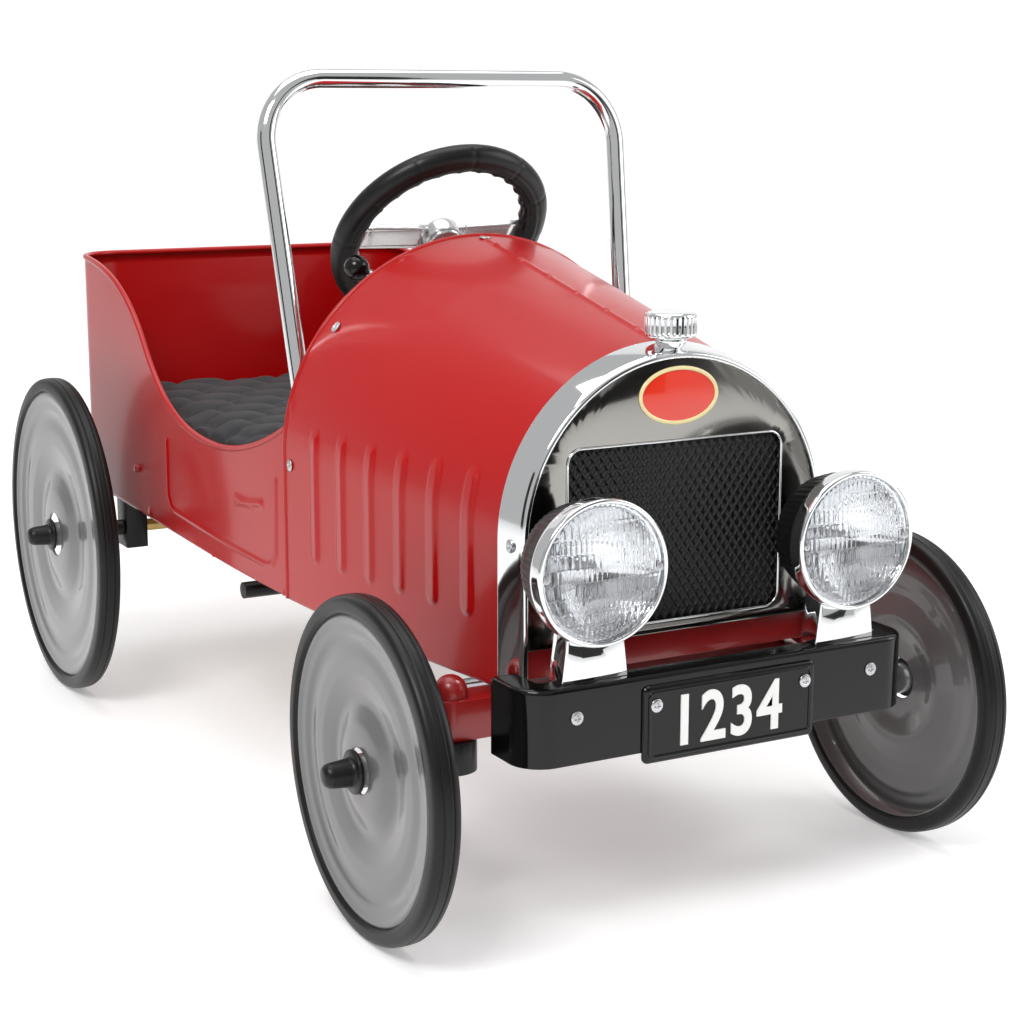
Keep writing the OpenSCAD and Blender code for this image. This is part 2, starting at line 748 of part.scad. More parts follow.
// ---- wheels ----
// Section of a tyre: flat tread with three grooves and rounded shoulders, r then depth
function tyre_section(r) = let (inner = r - tyre_h, w = tyre_w) [
    [inner, 0], [r - 3, 0], [r - 0.8, 1], [r, 3],
    [r, 5], [r - 1, 5.4], [r, 5.8],
    [r, w / 2 - 0.4], [r - 1, w / 2], [r, w / 2 + 0.4],
    [r, w - 5.8], [r - 1, w - 5.4], [r, w - 5],
    [r, w - 3], [r - 0.8, w - 1], [r - 3, w], [inner, w]];

// Pressed disc from its edge to its hub: flat ring, groove, raised ring, dish and hub
function disc_face(r) = [[r, 3], [r * 0.91, 3], [r * 0.87, 5.5], [r * 0.81, 3.5],
    [r * 0.7, 2], [r * 0.6, 3.5], [r * 0.48, 7], [r * 0.36, 6], [r * 0.3, 3], [r * 0.22, 2],
    [9, 2]];

// Turns a section of radius and depth about X; depth runs inwards, towards -X
module lathe_x() {
    rotate([0, -90, 0]) rotate_extrude($fn = 96) children();
}

module tyre(r) {
    lathe_x() polygon(tyre_section(r));
}

hub_r_in = axle_r + run_fit;
hub_len = tyre_w + 4;
shoulder_t = 1.5;

module disc(r, bore) {
    face = disc_face(r - tyre_h - run_fit);
    back = [for (i = [len(face) - 1 : -1 : 0]) [face[i][0], face[i][1] + disc_t]];
    lathe_x() polygon(concat(face, back));
    // rim that carries the tyre
    lathe_x() polygon([[face[0][0], 1], [face[0][0], tyre_w - 1],
        [face[0][0] - disc_t, tyre_w - 1], [face[0][0] - disc_t, 1]]);
    // hub tube
    difference() {
        translate([-hub_len, 0, 0]) bar_x(0, hub_len, 10);
        translate([-hub_len - 1, 0, 0]) bar_x(0, hub_len + 2, bore);
    }
}

module hub_cap() {
    lathe_x() polygon([[0, -hub_cap_h], [4.5, -hub_cap_h], [7.5, -hub_cap_h + 3],
        [9, -3], [hub_cap_r, -3], [hub_cap_r, -0.2], [axle_r, -0.2],
        [axle_r, -hub_cap_h + 5.4], [0, -hub_cap_h + 5.4]]);
}

module at_wheel(side, track, y, z) {
    scale([side, 1, 1]) translate([track, y, z]) children();
}
module at_front(side) { at_wheel(side, front_track, front_axle_y, front_wheel_r) children(); }
module at_rear(side) { at_wheel(side, rear_track, rear_axle_y, rear_wheel_r) children(); }

module tyre_front_right() { color("black") at_front(-1) tyre(front_wheel_r); }
module tyre_front_left() { color("black") at_front(1) tyre(front_wheel_r); }
module tyre_rear_right() { color("black") at_rear(-1) tyre(rear_wheel_r); }
module tyre_rear_left() { color("black") at_rear(1) tyre(rear_wheel_r); }
module disc_front_right() { color("gray") at_front(-1) disc(front_wheel_r, hub_r_in); }
module disc_front_left() { color("gray") at_front(1) disc(front_wheel_r, hub_r_in); }
module disc_rear_right() { color("gray") at_rear(-1) disc(rear_wheel_r, axle_r); }
module disc_rear_left() { color("gray") at_rear(1) disc(rear_wheel_r, hub_r_in); }
module hub_cap_front_right() { color("black") at_front(-1) hub_cap(); }
module hub_cap_front_left() { color("black") at_front(1) hub_cap(); }
module hub_cap_rear_right() { color("black") at_rear(-1) hub_cap(); }
module hub_cap_rear_left() { color("black") at_rear(1) hub_cap(); }

// ---- crank and pedals ----
rod_x = 30;
throw_half = 9;
block_x = half_w(rear_axle_y, tub_half_w) - sheet_t;
block_top = max(edge_z(rear_axle_y) + 20, rear_wheel_r + 16);
block_foot = rear_wheel_r - 16;
rod_t = 5;
hang_y = front_axle_y + 182;
mean_z = rear_wheel_r + 21.5;
hang_z = mean_z + pedal_arm_len;
crank_run = [hang_y - rear_axle_y, mean_z - rear_wheel_r];
crank_tilt = atan2(crank_run[1], -crank_run[0]);
arm_x = 40;
pin_d = 8;

module axle_blocks() {
    color("black") mirror_copy() difference() {
        union() {
            translate([block_x - 18, rear_axle_y - block_y / 2, block_foot])
                cube([18, block_y, block_top - block_foot]);
            // sleeve that spaces the wheel off the block
            translate([0, rear_axle_y, rear_wheel_r])
                bar_x(block_x - 1, rear_track - hub_len - gap, axle_r + shoulder_t);
        }
        translate([0, rear_axle_y, rear_wheel_r]) bar_x(block_x - 20, rear_track, axle_r + run_fit);
    }
}

// Bent rod seen in its own frame: throws stand square to the line from axle to pedals
module crank_axle() {
    axle_end = rear_track + hub_cap_h - 6;
    color("goldenrod") translate([0, rear_axle_y, rear_wheel_r]) rotate([-crank_tilt, 0, 0]) {
        mirror_copy() bar_x(rod_x + throw_half, axle_end, axle_r);
        bar_x(-rod_x + throw_half, rod_x - throw_half, axle_r);
        for (side = [-1, 1]) {
            for (x = [rod_x - throw_half, rod_x + throw_half]) translate([side * x, 0, 0]) {
                sphere(r = axle_r);
                translate([0, 0, -side * crank_throw]) sphere(r = axle_r);
                rotate([side > 0 ? 180 : 0, 0, 0]) cylinder(h = crank_throw, r = axle_r);
            }
            translate([0, 0, -side * crank_throw])
                bar_x(side * rod_x - throw_half, side * rod_x + throw_half, axle_r);
        }
    }
}

// Flat rod from the crank throw to the pedal, with an eye at each end
module conrod(side) {
    throw_dir = [sin(crank_tilt), cos(crank_tilt)] * -side * crank_throw;
    big = [rear_axle_y, rear_wheel_r] + throw_dir;
    small = [hang_y, mean_z];
    run = big - small;
    color("silver") prism_x(side * rod_x - rod_t / 2, side * rod_x + rod_t / 2) difference() {
        union() {
            translate(small) rotate(atan2(run[1], run[0])) translate([0, -6])
                square([norm(run), 12]);
            translate(small) circle(9);
            translate(big) circle(11);
        }
        translate(small) circle(pin_d / 2 + 0.5);
        translate(big) circle(axle_r + run_fit);
    }
}
module conrod_right() { conrod(-1); }
module conrod_left() { conrod(1); }

module pedal_arm(side) {
    color("darkred") scale([side, 1, 1]) difference() {
        union() {
            prism_x(arm_x - rod_t / 2, arm_x + rod_t / 2) {
                translate([hang_y - 7, mean_z]) square([14, pedal_arm_len]);
                translate([hang_y, hang_z]) circle(10);
                translate([hang_y, mean_z]) circle(9);
            }
            // hinge sleeve and pedal spindle
            translate([0, hang_y, hang_z]) bar_x(arm_x - 8, arm_x + 8, 8);
            translate([0, hang_y, mean_z])
                bar_x(rod_x + rod_t / 2 + 1, arm_x + rod_t / 2 + pedal_w + 4, pin_d / 2);
        }
        translate([0, hang_y, hang_z]) bar_x(arm_x - 10, arm_x + 10, 4 + run_fit);
    }
}
module pedal_arm_right() { pedal_arm(-1); }
module pedal_arm_left() { pedal_arm(1); }

module pedal_block(side) {
    x0 = arm_x + rod_t / 2 + 1;
    color("black") scale([side, 1, 1]) translate([0, hang_y, mean_z]) difference() {
        translate([x0, -26, -8]) cube([pedal_w, 52, 16]);
        bar_x(x0 - 1, x0 + pedal_w + 1, pin_d / 2 + run_fit);
    }
}
module pedal_right() { pedal_block(-1); }
module pedal_left() { pedal_block(1); }

hanger_x = 62;

module pedal_rod() {
    color("silver") translate([0, hang_y, hang_z]) bar_x(-hanger_x - 8, hanger_x + 8, 4);
}

module pedal_brackets() {
    color("darkred") mirror_copy() difference() {
        union() {
            translate([hanger_x, hang_y - 9, hang_z - 9])
                cube([4, dash_y - hang_y + 9, 18]);
            translate([hanger_x, dash_y - 3, hang_z - 9]) cube([18, 3, 18]);
        }
        translate([0, hang_y, hang_z]) bar_x(hanger_x - 1, hanger_x + 5, 4 + run_fit);
    }
}

// ---- seat ----
board_z = rear_wheel_r + crank_throw + 35.5;
seat_front_y = arc_y - 47;
seat_rear_y = tub_rear_y - sheet_t - gap;
seat_half_w = half_w(seat_front_y, tub_half_w) - sheet_t - gap;

ledge_bolt_y = rear_axle_y - 51;

module seat_ledges() {
    color("darkred") mirror_copy() {
        translate([seat_half_w - 14, seat_front_y + 6, board_z - 2]) cube([14, 240, 2]);
        translate([seat_half_w - 2, seat_front_y + 6, board_z - 16]) cube([2, 240, 14]);
        translate([0, ledge_bolt_y, board_z - 9]) bar_x(seat_half_w - 1, tub_half_w + 2.5, 3);
    }
}

module seat_plan(inset) {
    w = seat_half_w - inset;
    r = corner_r - sheet_t - inset;
    y1 = seat_rear_y - inset;
    translate([-w, seat_front_y + inset]) square([2 * w, y1 - r - seat_front_y - inset]);
    translate([-w + r, seat_front_y + inset]) square([2 * (w - r), y1 - seat_front_y - inset]);
    for (x = [-1, 1]) translate([x * (w - r), y1 - r]) circle(r);
}

module seat_board() {
    color("burlywood") translate([0, 0, board_z]) linear_extrude(board_t) difference() {
        seat_plan(0);
        // slots where the rods rise highest
        for (x = [-rod_x, rod_x]) translate([x - rod_t / 2 - 3, seat_front_y - 1])
            square([rod_t + 6, 61]);
    }
}

module seat_cushion() {
    color("darkslategray") translate([0, 0, board_z + board_t + 0.3])
        linear_extrude(cushion_t) seat_plan(2);
}

// ---- fasteners ----
screw_head_r = 4;
screw_head_h = 1.6;
screw_shank_r = 1.5;
cowl_screw_angle = 37;

// A pan-head screw whose head sits at the origin and whose shank runs down -Z
module pan_screw(head_r, shank) {
    cylinder(h = screw_head_h, r = head_r);
    translate([0, 0, -shank]) cylinder(h = shank, r = screw_shank_r);
}

module screws() {
    cowl_screw_y = dash_y + dash_t / 2;
    side_x = half_w(screen_bolt_y, body_half_w);
    arch_w = half_w(cowl_screw_y, body_half_w);
    arch_h = ridge_z(cowl_screw_y) - spring_z(cowl_screw_y);
    shell_x = (shell_r + lip_r) / 2;
    color("silver") {
        mirror_copy() {
            translate([bumper_screw_x, bumper_front_y, bumper_screw_z]) rotate([90, 0, 0])
                pan_screw(screw_head_r, 8);
            translate([plate_screw_x, plate_y, plate_screw_z]) rotate([90, 0, 0])
                pan_screw(screw_head_r, 8);
            translate([side_x, screen_bolt_y, screen_bolt_z]) rotate([0, 90, 0])
                pan_screw(screw_head_r, 12);
            translate([arch_w * cos(cowl_screw_angle), cowl_screw_y,
                spring_z(cowl_screw_y) + arch_h * sin(cowl_screw_angle)])
                rotate([0, 90 - cowl_screw_angle, 0]) pan_screw(screw_head_r, 6);
            translate([shell_x, shell_front_y + shell_d / 2, base_z + 87.5]) rotate([0, 90, 0])
                pan_screw(screw_head_r, 5);
            for (side = [-1, 1])
                translate([lamp_x + side * (lamp_r - 5.5), lamp_front_y + 1, lamp_z])
                    rotate([90, 0, 0]) scale([1, 1, 0.5]) pan_screw(2, 3);
        }
        translate([0, cowl_screw_y, ridge_z(cowl_screw_y)]) pan_screw(screw_head_r, 6);
    }
}

tub();
bonnet();
dash_panel();
radiator_shell();
radiator_panel();
grille_mesh();
badge();
radiator_cap();
radiator_neck();
front_cross_panel();
windscreen_frame();
windscreen_clamps();
bumper();
bumper_brackets();
number_plate();
plate_digits();
lamp_pedestals();
lamp_housings();
lamp_bezels();
lamp_lenses();
lamp_reflectors();
chassis_rails();
outriggers();
front_beam();
bushes();
column_bracket();
axle_blocks();
seat_ledges();
seat_board();
seat_cushion();
pedal_rod();
pedal_brackets();
screws();
steering_rim();
steering_spokes();
steering_column();
gear_lever();
gear_knob();
tie_rod();
knuckle_right();
knuckle_left();
tyre_front_right();
disc_front_right();
hub_cap_front_right();
tyre_front_left();
disc_front_left();
hub_cap_front_left();
tyre_rear_right();
disc_rear_right();
hub_cap_rear_right();
tyre_rear_left();
disc_rear_left();
hub_cap_rear_left();
crank_axle();
conrod_right();
conrod_left();
pedal_arm_right();
pedal_arm_left();
pedal_right();
pedal_left();
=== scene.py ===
import bmesh
import bpy
import json
import math
import numpy as np
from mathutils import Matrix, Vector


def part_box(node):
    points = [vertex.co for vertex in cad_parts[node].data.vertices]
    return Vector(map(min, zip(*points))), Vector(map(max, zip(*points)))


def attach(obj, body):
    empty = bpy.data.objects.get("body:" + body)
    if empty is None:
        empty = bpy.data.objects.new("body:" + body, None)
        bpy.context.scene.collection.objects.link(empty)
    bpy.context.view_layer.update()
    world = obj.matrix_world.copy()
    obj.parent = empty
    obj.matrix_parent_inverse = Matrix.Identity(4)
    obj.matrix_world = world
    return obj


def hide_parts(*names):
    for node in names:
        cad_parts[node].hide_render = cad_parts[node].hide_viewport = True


# Pedal car in pressed steel. Surfaces are worked out in millimetres and laid in metres.
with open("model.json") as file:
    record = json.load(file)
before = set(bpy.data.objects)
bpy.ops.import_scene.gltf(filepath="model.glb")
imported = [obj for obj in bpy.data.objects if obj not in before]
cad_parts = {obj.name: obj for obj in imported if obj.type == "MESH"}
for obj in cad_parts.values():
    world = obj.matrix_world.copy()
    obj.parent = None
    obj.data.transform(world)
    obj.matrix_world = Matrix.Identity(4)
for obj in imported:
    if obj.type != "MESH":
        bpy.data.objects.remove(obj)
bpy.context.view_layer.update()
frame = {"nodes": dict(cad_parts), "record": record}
nodes = frame["nodes"]
bodyOf = {n: b for b, ns in frame["record"]["behaviour"]["bodies"].items() for n in ns}
slotOf = {s["node"]: s["material_slot"] for s in frame["record"]["subparts"]}


def boxMm(node):
    low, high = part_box(node)
    return np.array(low) * 1000, np.array(high) * 1000


def centreMm(node):
    low, high = boxMm(node)
    return (low + high) / 2


frontAxle = centreMm("tyre_front_left")
bodyLift = 37.5
baseZ = frontAxle[2] + bodyLift


def gridMesh(name, grid, closeRows=False, closeCols=False, caps=False):
    # Quads between neighbouring points of a grid of rows and columns; caps fill the first and last row.
    rows, cols = grid.shape[:2]
    r = np.arange(rows if closeRows else rows - 1)[:, None]
    c = np.arange(cols if closeCols else cols - 1)[None, :]
    r2, c2 = (r + 1) % rows, (c + 1) % cols
    quads = np.stack([r * cols + c, r * cols + c2, r2 * cols + c2, r2 * cols + c], -1)
    faces = quads.reshape(-1, 4).tolist()
    if caps:
        faces.append(list(range(cols))[::-1])
        faces.append(list(range((rows - 1) * cols, rows * cols)))
    mesh = bpy.data.meshes.new(name)
    mesh.from_pydata((grid.reshape(-1, 3) * 0.001).tolist(), [], faces)
    return mesh


def closeUp(mesh):
    # Merges doubled points at poles and seams and turns all faces outwards.
    bm = bmesh.new()
    bm.from_mesh(mesh)
    bmesh.ops.remove_doubles(bm, verts=bm.verts, dist=1e-6)
    bmesh.ops.dissolve_degenerate(bm, edges=bm.edges, dist=1e-7)
    bmesh.ops.recalc_face_normals(bm, faces=bm.faces)
    bm.to_mesh(mesh)
    bm.free()
    setSmooth(mesh)
    mesh.update()


def setSmooth(mesh, on=True):
    mesh.polygons.foreach_set("use_smooth", [on] * len(mesh.polygons))


def readPoints(mesh):
    # The mesh's points, one row each.
    co = np.zeros(len(mesh.vertices) * 3, np.float32)
    mesh.vertices.foreach_get("co", co)
    return co.reshape(-1, 3)


def writePoints(mesh, points):
    mesh.vertices.foreach_set("co", points.astype(np.float32).ravel())
    mesh.update()


def linkObject(name, data):
    o = bpy.data.objects.new(name, data)
    bpy.context.scene.collection.objects.link(o)
    return o


def joinMeshes(name, meshes):
    # One mesh from several, in the order given.
    bm = bmesh.new()
    for m in meshes:
        bm.from_mesh(m)
    out = bpy.data.meshes.new(name)
    bm.to_mesh(out)
    bm.free()
    for m in meshes:
        bpy.data.meshes.remove(m)
    setSmooth(out)
    return out


def addPiece(name, mesh, material, node, stands=True):
    # Puts a mesh in the scene, riding with the body of a node, in that node's place or beside it.
    piece = linkObject(name, mesh)
    mesh.materials.clear()
    mesh.materials.append(material)
    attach(piece, bodyOf[node])
    if stands:
        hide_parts(node)
    return piece


def smooth(x, low, high):
    # Rises from 0 to 1 between low and high with no kink.
    t = np.clip((x - low) / (high - low), 0, 1)
    return t * t * (3 - 2 * t)


def rounded(points, radius, steps=5):
    # A closed outline with each corner replaced by an arc-like quadratic curve.
    p = np.array(points, float)
    out = []
    for i in range(len(p)):
        a, b, c = p[i - 1], p[i], p[(i + 1) % len(p)]
        r = min(radius, np.linalg.norm(a - b) / 2.05, np.linalg.norm(c - b) / 2.05)
        s, e = b + (a - b) / np.linalg.norm(a - b) * r, b + (c - b) / np.linalg.norm(c - b) * r
        t = np.linspace(0, 1, steps + 1)[:, None]
        out.append((1 - t) ** 2 * s + 2 * t * (1 - t) * b + t ** 2 * e)
    return np.concatenate(out)


def lathe(name, profile, centre, axis="x", side=1, steps=128, radiusOf=None):
    # Turns a profile of (radius, distance out along the axis) about X, Y or Z.
    p = np.array(profile, float)
    a = np.linspace(0, 2 * np.pi, steps, endpoint=False)[:, None]
    r = p[None, :, 0] * (radiusOf(a, p) if radiusOf else 1.0)
    along = p[None, :, 1] * side
    u, v = r * np.cos(a), r * np.sin(a)
    along = np.broadcast_to(along, u.shape)
    xyz = {"x": (along, u, v), "y": (u, along, v), "z": (u, v, along)}[axis]
    mesh = gridMesh(name, np.stack(xyz, -1) + np.array(centre), closeRows=True,
                    closeCols=bool(p[0, 0] > 0 or p[-1, 0] > 0))
    closeUp(mesh)
    return mesh


def sweep(name, path, section, closed=False, upright=(0, 0, 1)):
    # Carries a closed section (across, up) along a path, square to it, with no twist about upright.
    path, section = np.array(path, float), np.array(section, float)
    if closed:
        along = np.roll(path, -1, 0) - np.roll(path, 1, 0)
    else:
        along = np.gradient(path, axis=0)
    along /= np.linalg.norm(along, axis=1)[:, None]
    across = np.cross(along, np.array(upright, float))
    across /= np.linalg.norm(across, axis=1)[:, None]
    up = np.cross(across, along)
    grid = (path[:, None] + section[None, :, 0, None] * across[:, None]
            + section[None, :, 1, None] * up[:, None])
    mesh = gridMesh(name, grid, closeRows=closed, closeCols=True, caps=not closed)
    closeUp(mesh)
    return mesh


def ring(radius, sides=24):
    a = np.linspace(0, 2 * np.pi, sides, endpoint=False)
    return np.stack([radius * np.cos(a), radius * np.sin(a)], 1)


def bezier(a, b, c, d, n=24):
    t = np.linspace(0, 1, n)[:, None]
    a, b, c, d = (np.array(v, float) for v in (a, b, c, d))
    return (1 - t) ** 3 * a + 3 * (1 - t) ** 2 * t * b + 3 * (1 - t) * t ** 2 * c + t ** 3 * d


def setInputs(tree, made, **values):
    # Sets or joins a node's inputs by name; an underscore stands for a space.
    for label, value in values.items():
        fill(tree, made.inputs[label.replace("_", " ")], value)
    return made


def fill(tree, port, value):
    if isinstance(value, bpy.types.NodeSocket):
        tree.links.new(value, port)
    else:
        port.default_value = value


def addNode(tree, kind, **values):
    return setInputs(tree, tree.nodes.new("ShaderNode" + kind), **values)


def mathNode(tree, operation, a, b):
    made = addNode(tree, "Math")
    made.operation = operation
    for port, value in zip(made.inputs, (a, b)):
        fill(tree, port, value)
    return made.outputs[0]


def newMaterial(name):
    m = bpy.data.materials.new(name)
    m.use_nodes = True
    return m, m.node_tree, m.node_tree.nodes["Principled BSDF"]


def buildGrain():
    # Colour that drifts slightly, roughness between two values and a fine height, on Object coordinates.
    group = bpy.data.node_groups.new("fineGrain", "ShaderNodeTree")
    for way, kind, label in (("INPUT", "Color", "Colour"), ("INPUT", "Float", "Drift"),
                             ("INPUT", "Float", "Patch Size"), ("INPUT", "Float", "Grain Size"),
                             ("INPUT", "Float", "Low Roughness"), ("INPUT", "Float", "High Roughness"),
                             ("OUTPUT", "Color", "Colour"), ("OUTPUT", "Float", "Roughness"),
                             ("OUTPUT", "Float", "Height")):
        group.interface.new_socket(label, in_out=way, socket_type="NodeSocket" + kind)
    given, out = group.nodes.new("NodeGroupInput").outputs, group.nodes.new("NodeGroupOutput")
    place = addNode(group, "TexCoord").outputs["Object"]
    patch = addNode(group, "TexNoise", Detail=4, Vector=place, Scale=given["Patch Size"]).outputs["Fac"]
    grain = addNode(group, "TexNoise", Vector=place, Scale=given["Grain Size"]).outputs["Fac"]
    rough = addNode(group, "MapRange", Value=patch, From_Min=0.35, From_Max=0.65,
                    To_Min=given["Low Roughness"], To_Max=given["High Roughness"])
    dim = mathNode(group, "SUBTRACT", 1.0, mathNode(group, "MULTIPLY", patch, given["Drift"]))
    shade = addNode(group, "HueSaturation", Value=dim, Color=given["Colour"])
    setInputs(group, out, Colour=shade.outputs["Color"], Roughness=rough.outputs["Result"],
              Height=grain)
    return group


grainGroup = buildGrain()


def grainMaterial(name, colour, low, high, drift=0.1, patch=9.0, grain=900.0, bump=0.02,
                  depth=0.0002, metallic=0.0, coat=0.0, coatRoughness=0.03, specular=0.5):
    m, tree, shader = newMaterial(name)
    g = tree.nodes.new("ShaderNodeGroup")
    g.node_tree = grainGroup
    setInputs(tree, g, Colour=(*colour, 1), Drift=drift, Patch_Size=patch, Grain_Size=grain,
              Low_Roughness=low, High_Roughness=high)
    b = addNode(tree, "Bump", Strength=bump, Distance=depth, Height=g.outputs["Height"])
    setInputs(tree, shader, Base_Color=g.outputs["Colour"], Roughness=g.outputs["Roughness"],
              Normal=b.outputs["Normal"], Metallic=metallic, Coat_Weight=coat,
              Coat_Roughness=coatRoughness, Specular_IOR_Level=specular)
    return m


looks = {
    "redEnamel": dict(colour=(0.42, 0.0, 0.0005), low=0.32, high=0.40, drift=0.05, patch=5, grain=420,
                      bump=0.03, depth=0.0003, coat=0.35, coatRoughness=0.12, specular=0.3),
    "chassisEnamel": dict(colour=(0.30, 0.004, 0.004), low=0.3, high=0.42, bump=0.04, coat=0.3),
    "polishedChrome": dict(colour=(0.86, 0.87, 0.88), low=0.03, high=0.09, drift=0.05, patch=14,
                           bump=0.004, metallic=1.0),
    "smokedChrome": dict(colour=(0.34, 0.33, 0.31), low=0.10, high=0.16, drift=0.1, patch=9,
                         bump=0.008, metallic=1.0),
    "grilleBlack": dict(colour=(0.006, 0.006, 0.006), low=0.3, high=0.42, bump=0.03, specular=0.4),
    "mouldedBlack": dict(colour=(0.006, 0.006, 0.006), low=0.30, high=0.4, grain=1400, bump=0.05,
                         specular=0.3),
    "glossBlack": dict(colour=(0.003, 0.003, 0.003), low=0.12, high=0.18, bump=0.01, specular=0.35),
    "tyreRubber": dict(colour=(0.006, 0.006, 0.006), low=0.36, high=0.46, drift=0.3, grain=900,
                       bump=0.04, specular=0.3),
    "wheelGrey": dict(colour=(0.13, 0.13, 0.13), low=0.34, high=0.38, drift=0.04, patch=5, grain=2200,
                      bump=0.01, metallic=0.25, coat=0.6, coatRoughness=0.05),
    "zincPlate": dict(colour=(0.6, 0.6, 0.62), low=0.22, high=0.4, drift=0.2, patch=30, metallic=1.0),
    "yellowZinc": dict(colour=(0.62, 0.45, 0.16), low=0.25, high=0.42, drift=0.4, patch=26,
                       metallic=1.0),
    "whiteMoulding": dict(colour=(0.86, 0.86, 0.84), low=0.28, high=0.36, drift=0.04, bump=0.03),
    "naturalNylon": dict(colour=(0.75, 0.73, 0.64), low=0.4, high=0.5, bump=0.05),
    "silverMoulding": dict(colour=(0.78, 0.78, 0.79), low=0.14, high=0.24, drift=0.06, metallic=0.85),
    "enamelRed": dict(colour=(0.80, 0.035, 0.012), low=0.12, high=0.2, drift=0.04, bump=0.01, coat=0.8),
    "enamelCream": dict(colour=(0.86, 0.74, 0.38), low=0.16, high=0.22, drift=0.05, bump=0.01,
                        coat=0.5),
}


def look(name):
    return grainMaterial(name, **looks[name])


def toneRamp(tree, value, dark, pale, start=0.0):
    ramp = addNode(tree, "ValToRGB", Fac=value)
    ramp.color_ramp.elements[0].position = start
    ramp.color_ramp.elements[0].color = (*dark, 1)
    ramp.color_ramp.elements[1].color = (*pale, 1)
    return ramp.outputs["Color"]


def plywood():
    # Plies run along Y: a noise stretched along the board, mixed between two wood tones.
    m, tree, shader = newMaterial("plywood")
    place = addNode(tree, "TexCoord").outputs["Object"]
    along = addNode(tree, "Mapping", Vector=place, Scale=(60, 4, 60)).outputs["Vector"]
    grain = addNode(tree, "TexNoise", Vector=along, Scale=3, Detail=8).outputs["Fac"]
    setInputs(tree, shader, Roughness=0.45,
              Base_Color=toneRamp(tree, grain, (0.36, 0.22, 0.11), (0.66, 0.48, 0.30)))
    return m


def seatCloth():
    # Plain weave: two crossed bands of threads under a soft fleck, all on Object coordinates.
    m, tree, shader = newMaterial("seatCloth")
    place = addNode(tree, "TexCoord").outputs["Object"]
    threads = []
    for way in "XY":
        band = addNode(tree, "TexWave", Scale=260, Distortion=0.6, Vector=place)
        band.bands_direction = way
        threads.append(band.outputs["Fac"])
    fleck = addNode(tree, "TexNoise", Scale=320, Vector=place).outputs["Fac"]
    both = mathNode(tree, "ADD", mathNode(tree, "MULTIPLY", *threads), fleck)
    b = addNode(tree, "Bump", Strength=0.35, Distance=0.0004, Height=both)
    setInputs(tree, shader, Normal=b.outputs["Normal"], Roughness=0.85, Sheen_Weight=0.08,
              Base_Color=toneRamp(tree, both, (0.012, 0.012, 0.014), (0.03, 0.03, 0.033), 0.3))
    return m


def clearLens():
    # Clear moulding with a faint smear in its gloss.
    m, tree, shader = newMaterial("clearLens")
    place = addNode(tree, "TexCoord").outputs["Object"]
    smear = addNode(tree, "TexNoise", Scale=60, Vector=place).outputs["Fac"]
    amount = addNode(tree, "MapRange", Value=smear, To_Min=0.01, To_Max=0.05)
    setInputs(tree, shader, Roughness=amount.outputs["Result"], Base_Color=(0.97, 0.98, 1.0, 1),
              Transmission_Weight=1.0, IOR=1.45)
    return m


finish = {
    "body_red": look("redEnamel"), "chassis_red": look("chassisEnamel"), "chrome": look("polishedChrome"),
    "dark_chrome": look("smokedChrome"), "grille_black": look("grilleBlack"), "enamel": look("enamelRed"),
    "black_plastic": look("mouldedBlack"), "gloss_black": look("glossBlack"),
    "black_steel": look("mouldedBlack"), "white_plastic": look("whiteMoulding"), "lens": clearLens(),
    "mirror": look("polishedChrome"), "nylon": look("naturalNylon"), "wood": plywood(),
    "fabric": seatCloth(), "zinc": look("zincPlate"), "yellow_zinc": look("yellowZinc"),
    "screw_steel": look("zincPlate"), "silver_plastic": look("silverMoulding"),
    "tyre": look("tyreRubber"), "wheel_grey": look("wheelGrey"),
}
cream = look("enamelCream")


def dressNode(name, edge=0.5):
    # A CAD node keeps its shape and gets its finish, with its edges eased and its rounds smooth.
    o = nodes[name]
    o.data.materials.clear()
    o.data.materials.append(finish[slotOf[name]])
    setSmooth(o.data)
    weld = o.modifiers.new("weld", "WELD")
    weld.merge_threshold = 0.00002
    ease = o.modifiers.new("ease", "BEVEL")
    ease.width = edge * 0.001
    ease.segments = 2
    ease.limit_method = "ANGLE"
    ease.angle_limit = math.radians(32)
    ease.harden_normals = True


for name in nodes:
    dressNode(name)
print("frame dressed")

bodyShape = {"slope": 0.023, "planR": 1915.0, "arcFromAxle": 377.0, "cowlFromAxle": 239.0,
             "cowlRake": 0.09, "sheet": 1.5, "cornerR": 40.0, "beadR": 2.3}
arcY = frontAxle[1] + bodyShape["arcFromAxle"]
cowlY = frontAxle[1] + bodyShape["cowlFromAxle"]
tubLow, tubHigh = boxMm("tub")
tubHalf, tubFront, tubRear, rimZ = tubHigh[0], tubLow[1], tubHigh[1], tubHigh[2]
bodyHalf = boxMm("bonnet")[1][0] + (arcY - cowlY) ** 2 / (2 * bodyShape["planR"])
sillZ = baseZ + 95.5


def halfWidth(y, widest):
    # Straight behind arcY, and a circular arc of radius planR ahead of it.
    ahead = np.minimum(y - arcY, 0)
    return widest - bodyShape["planR"] + np.sqrt(bodyShape["planR"] ** 2 - ahead ** 2)


def edgeHeight(y):
    return baseZ + bodyShape["slope"] * (y - frontAxle[1])


def tubTop(y):
    # The cockpit's side: three curves in a row, then the level rear rim.
    line = np.concatenate([
        [[tubFront - 1, baseZ + 106], [cowlY + 0.3, baseZ + 106]],
        bezier((cowlY + 0.4, sillZ + 30), (arcY - 105, sillZ + 14), (arcY - 60, sillZ), (arcY - 10, sillZ)),
        bezier((arcY - 10, sillZ), (arcY + 60, sillZ), (arcY + 100, sillZ + 15.5),
               (arcY + 137, sillZ + 55.5)),
        bezier((arcY + 137, sillZ + 55.5), (arcY + 165, sillZ + 86), (arcY + 205, rimZ - 5),
               (tubRear - 30, rimZ)), [[tubRear + 1, rimZ]]])
    return np.interp(y, line[:, 0], line[:, 1])


